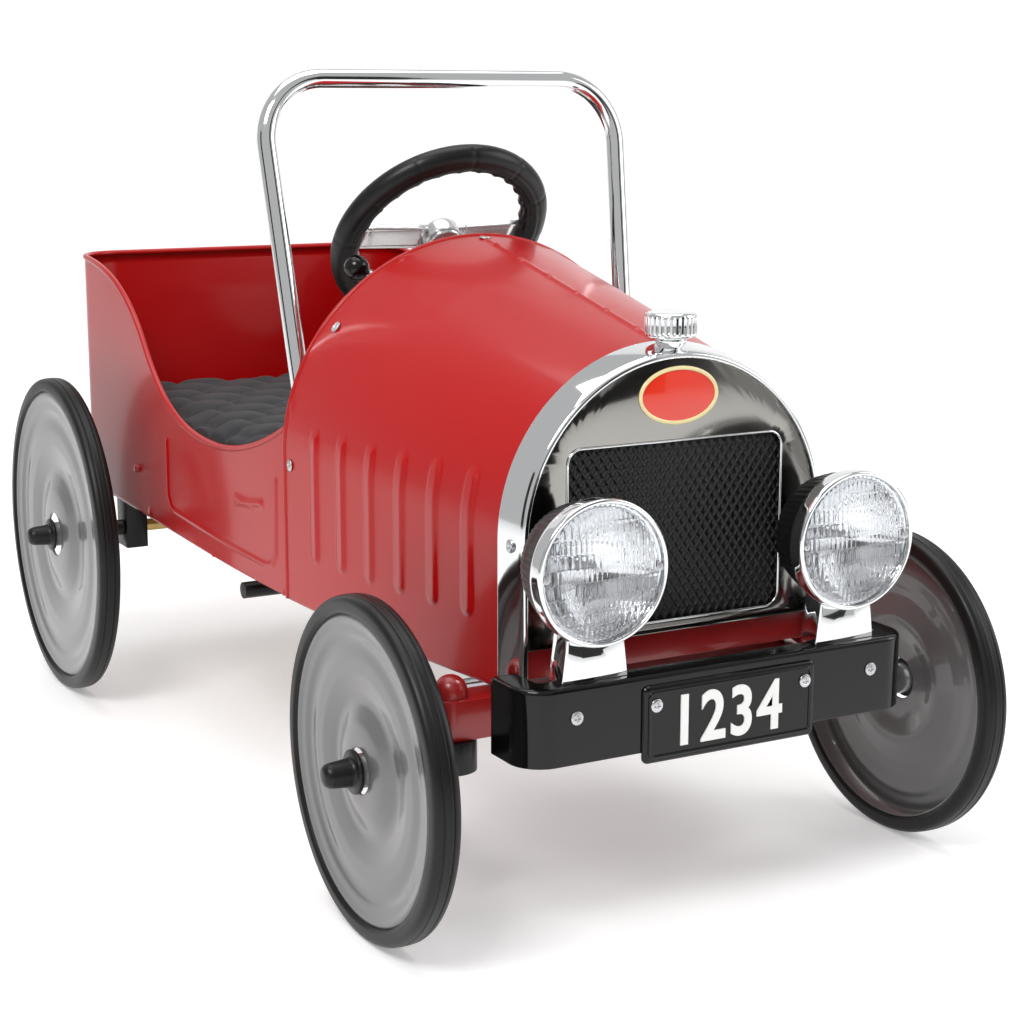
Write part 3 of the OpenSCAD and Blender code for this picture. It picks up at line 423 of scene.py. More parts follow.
def segmentBump(y, z, a, b, width, height):
    # A rounded ridge along the line from a to b.
    a, b = np.array(a, float), np.array(b, float)
    run = b - a
    t = np.clip(((y - a[0]) * run[0] + (z - a[1]) * run[1]) / (run @ run), 0, 1)
    d = np.hypot(y - a[0] - t * run[0], z - a[1] - t * run[1])
    return height * np.exp(-(d / width) ** 2)


def tubRelief(y, z):
    # Pressed door outline, its handle and the row of pressed dots, as height off the side.
    door = [(158, 220), (158, 178), (153, 170), (146, 167.5), (-34, 160.5), (-46, 163), (-52, 171),
            (-54, 223)]
    h = np.zeros_like(y)
    for a, b in zip(door[:-1], door[1:]):
        h = np.maximum(h, segmentBump(y, z, a, b, 1.6, 1.1))
    handle = segmentBump(y, z, (13, 197), (-29, 203), 2.2, 1.7)
    grip = segmentBump(y, z, (11, 200), (-12, 199), 3.0, 1.3)
    h = np.maximum(h, np.maximum(handle, grip))
    for dotY, dotZ in ((203, 156), (62, 146), (-63, 143.5), (-30, 203)):
        h = np.maximum(h, 1.3 * np.exp(-(np.hypot(y - dotY, z - dotZ) / 2.8) ** 2))
    return h


def buildTub():
    steps = {"front": 34, "door": 150, "rear": 70, "corner": 26, "back": 70, "wall": 84, "inside": 26}
    y = np.concatenate([np.linspace(tubFront, cowlY + 0.3, steps["front"] // 2),
                        np.linspace(cowlY + 0.4, -60, steps["front"] // 2, endpoint=False),
                        np.linspace(-60, 164, steps["door"], endpoint=False),
                        np.linspace(164, tubRear - bodyShape["cornerR"], steps["rear"])])
    r = bodyShape["cornerR"]
    a = np.linspace(0, np.pi / 2, steps["corner"])[1:]
    side = np.stack([halfWidth(y, tubHalf), y], 1)
    slope = np.gradient(side, axis=0)
    sideOut = np.stack([slope[:, 1], -slope[:, 0]], 1)
    sideOut /= np.linalg.norm(sideOut, axis=1)[:, None]
    corner = np.stack([tubHalf - r + r * np.cos(a), tubRear - r + r * np.sin(a)], 1)
    half = np.concatenate([side, corner])
    halfOut = np.concatenate([sideOut, np.stack([np.cos(a), np.sin(a)], 1)])
    back = np.linspace(tubHalf - r, -(tubHalf - r), steps["back"])[1:-1]
    flip = np.array([-1, 1])
    plan = np.concatenate([half, np.stack([back, np.full_like(back, tubRear)], 1), half[::-1] * flip])
    out = np.concatenate([halfOut, np.tile([0.0, 1.0], (len(back), 1)), halfOut[::-1] * flip])
    low, top = edgeHeight(plan[:, 1]), tubTop(plan[:, 1])
    # the section: up the outside, round the rolled rim, down the inside
    t = np.linspace(0, 1, steps["wall"])
    bead = np.radians(np.linspace(-50, 230, 13))
    down = np.linspace(1, 0, steps["inside"])
    topZ = top - bodyShape["beadR"]
    zOut = low[:, None] + (topZ - 1.4 - low)[:, None] * t
    zBead = topZ[:, None] + bodyShape["beadR"] * np.sin(bead)
    zIn = low[:, None] + (topZ - 1.4 - low)[:, None] * down
    onSide = (np.abs(out[:, 0]) > 0.9)[:, None]
    relief = np.where(onSide, tubRelief(np.broadcast_to(plan[:, 1:2], zOut.shape), zOut), 0)
    # a long pressed rib across the back rest shows on the inside
    rib = np.where(np.abs(out[:, 1:2]) > 0.9, 1.6 * np.exp(-((zIn - (rimZ - 32)) / 2.2) ** 2)
                   * smooth(76 - np.abs(plan[:, 0:1]), 0, 6), 0)
    off = np.concatenate([relief, np.broadcast_to(-0.75 + bodyShape["beadR"] * np.cos(bead), zBead.shape),
                          -bodyShape["sheet"] - rib], 1)
    z = np.concatenate([zOut, zBead, zIn], 1)
    xy = plan[:, None] + off[..., None] * out[:, None]
    mesh = gridMesh("tubShell", np.concatenate([xy, z[..., None]], 2), closeCols=True, caps=True)
    closeUp(mesh)
    return addPiece("tubShell", mesh, finish["body_red"], "tub")


buildTub()
print("tub")

bonnet = {"nose": 197.5, "cowl": 252.0, "springFront": 89.0, "springRear": 110.5, "louvres": 6,
          "louvreHalf": 5.6, "louvreFirst": 196.5, "louvrePitch": 34.1,
          "louvreLow": 177.5, "louvreHigh": 265.0, "louvreRise": 2.1}
shellRear = boxMm("radiator_shell")[1][1]
shellFront = boxMm("radiator_shell")[0][1]
bonnetFront = shellRear - 6


def alongBonnet(y, front, rear):
    return baseZ + front + (rear - front) * (y - shellRear) / (cowlY - shellRear)


def bonnetPoint(y0, angle, drop, inset):
    # An arch over two straight sides: angle runs over the arch, drop runs down to the lower edge.
    rise = np.sin(angle)
    share = (y0 - bonnetFront) / (cowlY - bonnetFront)
    ridge = alongBonnet(y0, bonnet["nose"], bonnet["cowl"])
    spring = alongBonnet(y0, bonnet["springFront"], bonnet["springRear"])
    y = y0 - bodyShape["cowlRake"] * share * rise * (ridge - spring)
    w = halfWidth(y, bodyHalf) - inset
    spring = alongBonnet(y, bonnet["springFront"], bonnet["springRear"])
    ridge = alongBonnet(y, bonnet["nose"], bonnet["cowl"])
    z = spring + rise * (ridge - inset - spring)
    z = z + (edgeHeight(y) - z) * drop
    return np.stack([w * np.cos(angle), y, z], -1)


def bonnetRelief(p):
    # Louvres on both sides, the hinge along the ridge and small pressed dots.
    x, y, z = p[..., 0], p[..., 1], p[..., 2]
    h = np.zeros_like(x)
    mid = (bonnet["louvreLow"] + bonnet["louvreHigh"]) / 2
    reach = (bonnet["louvreHigh"] - bonnet["louvreLow"]) / 2
    for i in range(bonnet["louvres"]):
        at = frontAxle[1] + bonnet["louvreFirst"] - i * bonnet["louvrePitch"]
        dy = y - at
        d = np.hypot(dy, np.maximum(np.abs(z - mid) - reach + bonnet["louvreHalf"], 0))
        open_ = 0.4 + 0.6 * smooth(-dy, -bonnet["louvreHalf"], bonnet["louvreHalf"])
        h = np.maximum(h, bonnet["louvreRise"] * open_ * (1 - smooth(d, bonnet["louvreHalf"] - 1.8,
                                                                     bonnet["louvreHalf"] + 0.6)))
    onTop = z > baseZ + bonnet["nose"] - 20
    seam = 1.3 * np.exp(-(x / 2.2) ** 2)
    knuckle = 0.9 * np.exp(-(x / 2.3) ** 2) * np.exp(-(((y - cowlY + 40) / 35.5 + 0.5) % 1 - 0.5) ** 2 * 220)
    h = h + np.where(onTop & (y < cowlY - 18), seam + knuckle, 0)
    for side in (-1, 1):
        for dx, dy, dz in ((59, -87.5, 374), (138, -77.5, 278)):
            d = np.sqrt((x - side * dx) ** 2 + (y - dy) ** 2 + (z - dz) ** 2)
            h = np.maximum(h, 1.3 * np.exp(-(d / 3.2) ** 2))
    return h


def buildBonnet():
    steps = {"along": 196, "side": 62, "inside": 70}
    # the arch is drawn finer at the ridge, where the hinge runs
    arch = np.concatenate([np.linspace(0, np.pi, 110), np.pi / 2 + np.linspace(-0.04, 0.04, 25)])
    arch = np.unique(arch.round(6))[::-1]
    y0 = np.linspace(bonnetFront, cowlY, steps["along"])[:, None]
    up = np.linspace(1, 0, steps["side"], endpoint=False)
    angle = np.concatenate([np.full(steps["side"], np.pi), arch,
                            np.zeros(steps["side"])])[None]
    drop = np.concatenate([up, np.zeros(len(arch)), up[::-1]])[None]
    outer = bonnetPoint(y0, angle, drop, 0.0)
    around, along = np.gradient(outer, axis=1), np.gradient(outer, axis=0)
    normal = np.cross(around, along)
    normal /= np.linalg.norm(normal, axis=-1)[..., None] + 1e-9
    if normal[0, steps["side"] + len(arch) // 2, 2] < 0:
        normal = -normal
    outer = outer + normal * bonnetRelief(outer)[..., None]
    pick = np.linspace(0, angle.shape[1] - 1, steps["inside"]).round().astype(int)[::-1]
    inner = bonnetPoint(y0, angle[:, pick], drop[:, pick], bodyShape["sheet"])
    mesh = gridMesh("bonnetShell", np.concatenate([outer, inner], 1), closeCols=True, caps=True)
    closeUp(mesh)
    addPiece("bonnetShell", mesh, finish["body_red"], "bonnet")
    # rolled bead round the cowl's rear edge
    a = np.concatenate([np.full(20, np.pi), np.linspace(np.pi, 0, 80), np.zeros(20)])
    d = np.concatenate([np.linspace(1, 0, 20, endpoint=False), np.zeros(80), np.linspace(0, 1, 21)[1:]])
    path = bonnetPoint(np.full_like(a, cowlY - 1), a, d, 0.75)
    bead = sweep("cowlBead", path, ring(1.9, 14), upright=(0, 1, 0))
    addPiece("cowlBead", bead, finish["body_red"], "bonnet", stands=False)


buildBonnet()
print("bonnet")

radiator = {"lipInset": 3.0, "sheet": 1.3, "legSteps": 16, "archSteps": 120, "capD": 31.0,
            "flutes": 28, "grilleW": 152.0, "grilleH": 110.0, "grilleCorner": 9.0}
shellLow, shellHigh = boxMm("radiator_shell")
shellR = shellHigh[0]
lipR = shellR - 5.5
springFrontZ = baseZ + bonnet["springFront"]
panelLow = boxMm("radiator_panel")[0]


def archPath(steps, legs):
    # Unit arch: sideways direction, share of the radius and height of the leg, from foot to foot.
    a = np.linspace(np.pi, 0, steps)
    leg = np.linspace(0, 1, legs, endpoint=False)
    x = np.concatenate([-np.ones(legs), np.cos(a), np.ones(legs)])
    up = np.concatenate([np.zeros(legs), np.sin(a), np.zeros(legs)])
    legZ = np.concatenate([leg, np.ones(steps), leg[::-1]])
    return x, up, legZ


def buildRadiatorShell():
    x, up, leg = archPath(radiator["archSteps"], radiator["legSteps"])
    t, s = radiator["sheet"], radiator["lipInset"]
    section = rounded([(shellR, shellRear), (lipR + 1.2, shellFront + 3), (lipR - 0.4, shellFront),
                       (lipR - s, shellFront), (lipR - s, shellFront + t),
                       (lipR - t - 0.2, shellFront + t + 1), (shellR - t, shellRear)], 1.4, 4)
    foot = shellLow[2]
    z = foot + (springFrontZ - foot) * leg
    grid = np.stack([x[:, None] * section[None, :, 0],
                     np.broadcast_to(section[None, :, 1], (len(x), len(section))),
                     z[:, None] + up[:, None] * section[None, :, 0]], -1)
    mesh = gridMesh("radiatorShell", grid, closeCols=True, caps=True)
    closeUp(mesh)
    addPiece("radiatorShell", mesh, finish["chrome"], "radiator_shell")


def roundedRect(w, h, r, cx, cz, y, steps=10):
    # A closed path round a rectangle with round corners, standing in the plane y.
    path = []
    for k, (sx, sz) in enumerate(((1, 1), (-1, 1), (-1, -1), (1, -1))):
        a = np.radians(90 * k + np.linspace(0, 90, steps))
        path.append(np.stack([cx + sx * (w / 2 - r) + r * np.cos(a), np.full(steps, y),
                              cz + sz * (h / 2 - r) + r * np.sin(a)], 1))
    return np.concatenate(path)


def buildGrille():
    # Expanded metal: two families of slanting strands, raised where either line is near.
    w, h, mid = radiator["grilleW"] + 10, radiator["grilleH"] + 10, centreMm("grille_mesh")
    low = boxMm("grille_mesh")[0]
    u, v = np.linspace(-w / 2, w / 2, 270)[None], np.linspace(-h / 2, h / 2, 196)[:, None]
    a, b = u / 6.2 + v / 9.0, u / 6.2 - v / 9.0
    near = lambda q: np.abs(q - np.round(q))
    strand = np.maximum(np.exp(-(near(a) / 0.13) ** 2), 0.8 * np.exp(-(near(b) / 0.13) ** 2))
    y = low[1] + 1.9 - 1.7 * strand
    front = np.stack([mid[0] + u + 0 * v, y, mid[2] + v + 0 * u], -1)
    mesh = gridMesh("grilleMesh", front)
    setSmooth(mesh)
    bm = bmesh.new()
    bm.from_mesh(mesh)
    bm.faces.ensure_lookup_table()
    if bm.faces[0].normal.y > 0:
        bmesh.ops.reverse_faces(bm, faces=bm.faces)
    rim = [e for e in bm.edges if e.is_boundary]
    new = bmesh.ops.extrude_edge_only(bm, edges=rim)["geom"]
    for vert in (g for g in new if isinstance(g, bmesh.types.BMVert)):
        vert.co.y = (low[1] + 2.0) * 0.001
    bmesh.ops.contextual_create(bm, geom=[e for e in bm.edges if e.is_boundary])
    bm.to_mesh(mesh)
    bm.free()
    addPiece("grilleMesh", mesh, finish["grille_black"], "grille_mesh")
    lip = sweep("grilleLip", roundedRect(radiator["grilleW"] - 1, radiator["grilleH"] - 1,
                radiator["grilleCorner"], 0, mid[2], panelLow[1] + 0.1), ring(0.8, 10), closed=True,
                upright=(0, 1, 0))
    addPiece("grilleLip", lip, finish["chrome"], "radiator_panel", stands=False)


def buildBadge():
    # A low enamel dome inside a cream rim, both plain.
    low, high = boxMm("badge")
    mid, w, h = (low + high) / 2, (high - low)[0] / 2, (high - low)[2] / 2
    a = np.linspace(0, 2 * np.pi, 96, endpoint=False)[:, None]
    r = np.concatenate([np.linspace(0, 1, 20), [1.0]])[None]
    rise = np.concatenate([1.1 * (1 - np.linspace(0, 1, 20) ** 2) + 0.25, [0.0]])[None]
    grid = np.stack([(w - 1.5) * r * np.cos(a), high[1] - rise + 0 * a,
                     mid[2] + (h - 1.5) * r * np.sin(a)], -1)
    dome = gridMesh("badgeEnamel", grid, closeRows=True, closeCols=True)
    closeUp(dome)
    addPiece("badgeEnamel", dome, finish["enamel"], "badge")
    a = a[:, 0]
    path = np.stack([(w - 1.3) * np.cos(a), np.full_like(a, high[1] - 0.4),
                     mid[2] + (h - 1.3) * np.sin(a)], 1)
    rim = sweep("badgeRim", path, ring(1.0, 14) * (1.25, 0.8), closed=True, upright=(0, 1, 0))
    addPiece("badgeRim", rim, cream, "badge", stands=False)


def buildCap():
    low, high = boxMm("radiator_cap")
    mid, r, h = (low + high) / 2, radiator["capD"] / 2, high[2] - low[2]
    profile = [(0, 0), (r - 2.0, 0), (r - 0.5, 0.8), (r, 2), (r, 3), (r, 7.5), (r, 11.5), (r, 12.6),
               (r - 0.4, 13.8), (r - 1.6, 14.6), (r - 4, h), (r - 7, h - 0.4), (0, h - 0.6)]
    flute = lambda a, p: 1 - 0.085 * np.clip(np.cos(radiator["flutes"] * a), 0, 1) * (
        (p[None, :, 1] > 2.2) & (p[None, :, 1] < 12) & (p[None, :, 0] > r - 0.2))
    cap = lathe("radiatorCap", profile, (mid[0], mid[1], low[2]), "z", 1, 28 * 12, flute)
    addPiece("radiatorCap", cap, finish["chrome"], "radiator_cap")
    low, high = boxMm("radiator_neck")
    r, h = (high - low)[0] / 2, high[2] - low[2]
    foot = shellR + springFrontZ + 0.2 - low[2]
    neck = lathe("radiatorNeck", [(0, 0), (4.9, 0), (4.9, foot - 5.4), (r, foot - 0.3), (r, h - 1),
                                  (r - 0.6, h), (0, h)], (mid[0], mid[1], low[2]), "z", 1, 96)
    addPiece("radiatorNeck", neck, finish["chrome"], "radiator_neck")


buildRadiatorShell()
buildGrille()
buildBadge()
buildCap()
print("radiator")

screen = {"tube": 13.0, "bend": 44.0, "rake": 10.65, "splay": 2.9, "footAboveBase": 83.0}


def buildScreen():
    # A bent tube: straight post, quarter bend, top bar and the same again mirrored, in a leaning plane.
    high = boxMm("windscreen_frame")[1]
    r, b = screen["tube"] / 2, screen["bend"]
    rake, splay = math.radians(screen["rake"]), math.radians(screen["splay"])
    barHalf = high[0] - r - b
    top = high[2] - r
    barY = high[1] - r
    post = (top - baseZ - screen["footAboveBase"]) / math.cos(rake) - b
    t = np.linspace(1, 0, 40, endpoint=False)
    a = np.linspace(-splay, np.pi / 2, 40)
    px = barHalf + b * math.cos(splay) - t * post * math.sin(splay)
    pv = -b - b * math.sin(splay) - t * post * math.cos(splay)
    bx, bv = barHalf + b * np.cos(a), -b + b * np.sin(a)
    half = np.concatenate([np.stack([px, pv], 1), np.stack([bx, bv], 1)])
    bar = np.stack([np.linspace(barHalf, -barHalf, 22)[1:-1], np.zeros(20)], 1)
    line = np.concatenate([half, bar, half[::-1] * (-1, 1)])
    path = np.stack([line[:, 0], barY + line[:, 1] * math.sin(rake), top + line[:, 1] * math.cos(rake)], 1)
    tube = sweep("screenTube", path, ring(r, 40), upright=(0, -math.cos(rake), math.sin(rake)))
    addPiece("screenTube", tube, finish["chrome"], "windscreen_frame")


buildScreen()

bumper = {"corner": 20.0, "edge": 3.2, "ledge": 17.0, "sheet": 2.5, "rim": 1.1, "digits": "1234"}


def buildBumper():
    low, high = boxMm("bumper")
    w, c = high[0], bumper["corner"]
    front, rear, z0, z1 = low[1], high[1], low[2], high[2]
    t = np.linspace(0, 1, 14, endpoint=False)
    a = np.radians(np.linspace(180, 270, 24))
    turn = np.stack([-w + c + c * np.cos(a), front + c + c * np.sin(a)], 1)
    side = np.stack([np.full(14, -w), rear + (front + c - rear) * t], 1)
    mid = np.stack([np.linspace(-w + c, 0, 26)[1:], np.full(25, front)], 1)
    half = np.concatenate([side, turn, mid])
    plan = np.concatenate([half, half[-2::-1] * (-1, 1)])
    along = np.gradient(plan, axis=0)
    inwards = np.stack([-along[:, 1], along[:, 0]], 1)
    inwards /= np.linalg.norm(inwards, axis=1)[:, None]
    s, g = bumper["sheet"], bumper["ledge"]
    section = rounded([(0, z0), (0, z1), (g, z1), (g, z1 - 4), (s + 0.4, z1 - 4), (s, z0)],
                      bumper["edge"], 6)
    xy = plan[:, None] + section[None, :, 0, None] * inwards[:, None]
    z = np.broadcast_to(section[None, :, 1:2], (len(plan), len(section), 1))
    mesh = gridMesh("bumperSkin", np.concatenate([xy, z], 2), closeCols=True, caps=True)
    closeUp(mesh)
    addPiece("bumperSkin", mesh, finish["gloss_black"], "bumper")


def buildPlate():
    # The slab is a rounded outline; a raised bead runs inside its edge, and the digits stand on it.
    low, high = boxMm("number_plate")
    mid, size = (low + high) / 2, high - low
    inset = np.array([2.5, 1.2, 0.5, 0.0, 0.0])
    y = np.array([low[1], low[1] + 0.3, low[1] + 0.8, low[1] + 1.6, high[1]])
    rings = [roundedRect(size[0] - 2 * i, size[2] - 2 * i, max(4 - i, 1.5), 0, mid[2], at, 8)
             for i, at in zip(inset, y)]
    middle = np.repeat([[0, low[1], mid[2]]], len(rings[0]), 0)
    back = np.repeat([[0, high[1], mid[2]]], len(rings[0]), 0)
    slab = gridMesh("plateSlab", np.stack([middle] + rings + [back]), closeCols=True)
    closeUp(slab)
    setSmooth(slab, False)
    addPiece("plateSlab", slab, finish["gloss_black"], "number_plate")
    bead = sweep("plateBead", roundedRect(size[0] - 8, size[2] - 8, 3, 0, mid[2], low[1] + 0.1, 8),
                 ring(bumper["rim"], 12), closed=True, upright=(0, 1, 0))
    addPiece("plateBead", bead, finish["gloss_black"], "number_plate", stands=False)
    low, high = boxMm("plate_digits")
    curve = bpy.data.curves.new("plateDigits", "FONT")
    curve.body = bumper["digits"]
    curve.extrude, curve.bevel_depth, curve.bevel_resolution = 0.0004, 0.00035, 3
    curve.size, curve.space_character, curve.offset = 0.043, 1.12, 0.0006
    o = linkObject("plateDigitsText", curve)
    bpy.context.view_layer.update()
    mesh = bpy.data.meshes.new_from_object(o.evaluated_get(bpy.context.evaluated_depsgraph_get()))
    bpy.data.objects.remove(o)
    co = readPoints(mesh)
    span = co.max(0) - co.min(0)
    co = (co - (co.max(0) + co.min(0)) / 2) / span
    # the digits keep their thickness and fill the place of the plain ones, standing up in X and Z
    size = (high - low) * 0.001
    flat = np.stack([co[:, 0] * size[0], -co[:, 2] * 0.0012 + (high[1] - 0.5) * 0.001,
                     co[:, 1] * size[2] + (low + high)[2] * 0.0005], 1)
    writePoints(mesh, flat)
    closeUp(mesh)
    setSmooth(mesh, False)
    addPiece("plateDigits", mesh, finish["white_plastic"], "plate_digits")


buildBumper()
buildPlate()
print("bumper and plate")

lamp = {"r": 42.0, "bezelDepth": 11.0, "housingDepth": 26.0, "fluteW": 3.2, "rowH": 8.2, "ribs": 60}


def lensPoint(u, v, radius, front):
    # Square grid laid over a disc, bulging forwards, with upright flutes broken into rows.
    x = radius * u * np.sqrt(1 - v ** 2 / 2)
    z = radius * v * np.sqrt(1 - u ** 2 / 2)
    r = np.hypot(x, z) / radius
    y = front - 3.4 * (1 - r ** 2)
    row = np.floor(z / lamp["rowH"] + 0.5)
    wide = lamp["fluteW"] * (1 + 0.35 * (row % 2))
    flute = 0.9 * np.abs(np.sin(np.pi * x / wide))
    step = 0.5 * smooth(np.abs(((z / lamp["rowH"]) % 1) - 0.5), 0.0, 0.12)
    return np.stack([x, y + (flute - step) * smooth(1 - r, 0.02, 0.08), z], -1)


def buildLamps():
    low, high = boxMm("lamp_bezels")
    front, r = low[1], lamp["r"]
    at = [(s * (high[0] - r), 0, (low + high)[2] / 2) for s in (-1, 1)]
    d, h = lamp["bezelDepth"], lamp["housingDepth"]
    bezel = rounded([(r - 3.2, -front - 2.6), (r - 2.8, -front), (r - 0.6, -front), (r, -front - 1.6),
                     (r, -front - d + 2.6), (r - 0.3, -front - d), (r - 5, -front - d),
                     (r - 5, -front - 4), (r - 3.2, -front - 4)], 0.9, 4)
    rib = lambda a, p: 1 - 0.012 * (np.cos(lamp["ribs"] * a) > 0) * (p[None, :, 0] > r * 0.7)
    y1 = -front - d
    shell = [(r - 2, y1), (r - 2.2, y1 - 3), (r - 4.5, y1 - 14), (r - 8, y1 - h + 2), (r - 10, y1 - h),
             (0, y1 - h), (0, y1 - h + 2), (r - 11, y1 - h + 3), (r - 4, y1)]
    t = np.linspace(0, 1, 30)
    bowl = np.stack([6 + (r - 11.5) * t, -front - 21 + 16.5 * t ** 2], 1)
    bowl = np.concatenate([[[0, -front - 21]], bowl, [[r - 5.1, -front - 4.3]],
                           (bowl + (0.4, -0.9))[::-1], [[0, -front - 22]]])
    bulb = [(0, -front - 8), (2.6, -front - 8.8), (3.9, -front - 11), (3.9, -front - 16),
            (3, -front - 20), (0, -front - 20.5)]
    for name, profile, sides, shape, slot, node in (
            ("lampBezels", bezel, 160, None, "chrome", "lamp_bezels"),
            ("lampHousings", shell, 240, rib, "black_plastic", "lamp_housings"),
            ("lampBowls", bowl, 96, None, "mirror", "lamp_reflectors"),
            ("lampBulbs", bulb, 32, None, "silver_plastic", "lamp_reflectors")):
        parts = [lathe("part", profile, p, "y", -1, sides, shape) for p in at]
        addPiece(name, joinMeshes(name, parts), finish[slot], node, stands=name != "lampBulbs")
    n = 132
    g = np.linspace(-1, 1, n)
    u, v = np.meshgrid(g, g)
    parts = []
    for p in at:
        face = lensPoint(u, v, r - 3.1, front + 2.2) + np.array(p)
        rear = face.copy()
        rear[..., 1] = front + 3.6
        meshes = []
        for name, grid in (("f", face), ("r", rear[:, ::-1])):
            meshes.append(gridMesh(name, grid))
        glass = joinMeshes("glass", meshes)
        bm = bmesh.new()
        bm.from_mesh(glass)
        bmesh.ops.bridge_loops(bm, edges=[e for e in bm.edges if e.is_boundary])
        bmesh.ops.recalc_face_normals(bm, faces=bm.faces)
        bm.to_mesh(glass)
        bm.free()
        parts.append(glass)
    addPiece("lampLenses", joinMeshes("lampLenses", parts), finish["lens"], "lamp_lenses")


buildLamps()
print("headlamps")

wheel = {"tyreH": 10.5, "tyreW": 17.0, "grooves": (5.4, 8.5, 11.6), "capH": 21.0, "capR": 13.0}


def tyreProfile(r):
    # Rounded tread from bead to bead, dipped at three fine grooves; distances run inwards as negative.
    w, h = wheel["tyreW"], wheel["tyreH"]
    a = np.linspace(0.02, np.pi - 0.02, 90)
    depth = w / 2 - w / 2 * np.sign(np.cos(a)) * np.abs(np.cos(a)) ** 0.62
    height = h * np.sin(a) ** 0.36
    for g in wheel["grooves"]:
        height = height - 1.1 * np.exp(-((depth - g) / 0.42) ** 2)
    return [(r - h, -depth[0])] + [(r - h + k, -q) for k, q in zip(height, depth)] + [(r - h, -depth[-1])]


def discProfile(r):
    # Pressed sheet: rolled edge, flat ring, a step, a wide shallow dish and a raised boss.
    share = np.array([1.0, 0.985, 0.965, 0.93, 0.87, 0.84, 0.80, 0.72, 0.62, 0.53, 0.47, 0.42, 0.36,
                      0.30, 0.24, 0.19, 0.15])
    depth = np.array([3.0, 1.4, 1.2, 2.6, 3.0, 4.6, 4.9, 4.0, 4.2, 6.0, 7.4, 7.2, 5.2, 3.2, 2.2, 1.8, 1.8])
    s = np.linspace(share[-1], 1, 90)
    d = np.interp(s, share[::-1], depth[::-1])
    blur = np.exp(-np.linspace(-1.6, 1.6, 7) ** 2)
    d = np.convolve(np.pad(d, 3, "edge"), blur / blur.sum(), "valid")
    face = [(r * k, -q) for k, q in zip(s, d)]
    back = [(k, q - 1.6) for k, q in face[::-1]]
    return [(r * share[-1], -1.8)] + face + [(r, -15.5), (r - 1.6, -15.5)] + back[1:]


def buildWheels():
    for end, side in (("front", "right"), ("front", "left"), ("rear", "right"), ("rear", "left")):
        key = f"{end}_{side}"
        low, high = boxMm(f"tyre_{key}")
        mid, r = (low + high) / 2, (high - low)[2] / 2
        out = -1 if side == "right" else 1
        face = (low[0] if side == "right" else high[0], mid[1], mid[2])
        label = end.capitalize() + side.capitalize()
        addPiece("tyre" + label, lathe("t", tyreProfile(r), face, "x", out, 192), finish["tyre"],
                 f"tyre_{key}")
        rim = r - wheel["tyreH"]
        parts = [lathe("d", discProfile(rim), face, "x", out, 160),
                 lathe("n", rounded([(5.1, 0), (10, 0), (10, -21), (5.1, -21)], 0.6, 3), face, "x",
                       out, 48)]
        addPiece("disc" + label, joinMeshes("d" + label, parts), finish["wheel_grey"], f"disc_{key}")
        h, c = wheel["capH"], wheel["capR"]
        cap = [(0, h), (3.2, h - 0.15), (5.4, h - 0.9), (6.8, h - 2.6), (7.4, h - 5), (8.3, 5.5),
               (8.8, 3.6), (9.8, 3.0), (c - 0.6, 3.0), (c, 2.4), (c, 0.8), (c - 0.5, 0.2), (5.1, 0.2),
               (5.1, h - 5.4), (0, h - 5.4)]
        addPiece("hubCap" + label, lathe("c", cap, face, "x", out, 64), finish["black_plastic"],
                 f"hub_cap_{key}")


buildWheels()
print("wheels")

steering = {"rake": 40.4, "rimR": 82.0, "rimD": 21.0, "scallops": 26, "grooves": (-0.55, 0.15),
            "joints": 12, "squash": 0.86, "rungs": (18, 28, 38, 48, 57)}


def onColumn(local):
    # Local X stays, local Y lies across the column and local Z runs up it, from the wheel's middle.
    mid = centreMm("steering_rim")
    a = math.radians(steering["rake"])
    up, across = np.array([0, math.cos(a), math.sin(a)]), np.array([0, math.sin(a), -math.cos(a)])
    return mid + local[..., 0:1] * np.array([1.0, 0, 0]) + local[..., 1:2] * across + local[..., 2:3] * up


def buildSteeringWheel():
    # A ring whose section is grooved in front and scalloped for fingers on its inner side.
    a = np.linspace(0, 2 * np.pi, 312, endpoint=False)[:, None]
    b = np.linspace(0, 2 * np.pi, 56, endpoint=False)[None]
    r = steering["rimD"] / 2
    middle = steering["rimR"] - r
    inner = np.clip(-np.cos(b), 0, 1) ** 2
    tube = r - 1.5 * inner * np.abs(np.sin(a * steering["scallops"] / 2)) ** 0.7
    for at in steering["grooves"]:
        tube = tube - 0.7 * np.exp(-(((b + np.pi / 2 - at + np.pi) % (2 * np.pi) - np.pi) / 0.07) ** 2)
    notch = np.exp(-((((a / (2 * np.pi) * steering["joints"]) + 0.5) % 1 - 0.5) / 0.03) ** 2)
    tube = tube - 0.45 * notch * (np.sin(b) < 0.5)
    local = np.stack([(middle + tube * np.cos(b)) * np.cos(a), (middle + tube * np.cos(b)) * np.sin(a),
                      tube * steering["squash"] * np.sin(b)], -1)
    mesh = gridMesh("steeringRim", onColumn(local), closeRows=True, closeCols=True)
    closeUp(mesh)
    addPiece("steeringRim", mesh, finish["black_plastic"], "steering_rim")


def bar(name, a, b, wide, tall):
    # A rounded bar between two points of the wheel's own frame.
    path = onColumn(np.linspace(a, b, 6))
    lean = math.radians(steering["rake"])
    x, z = wide / 2, tall / 2
    section = rounded([(-x, -z), (x, -z), (x, z), (-x, z)], 0.9, 3)
    return sweep(name, path, section, upright=(0, math.cos(lean), math.sin(lean)))


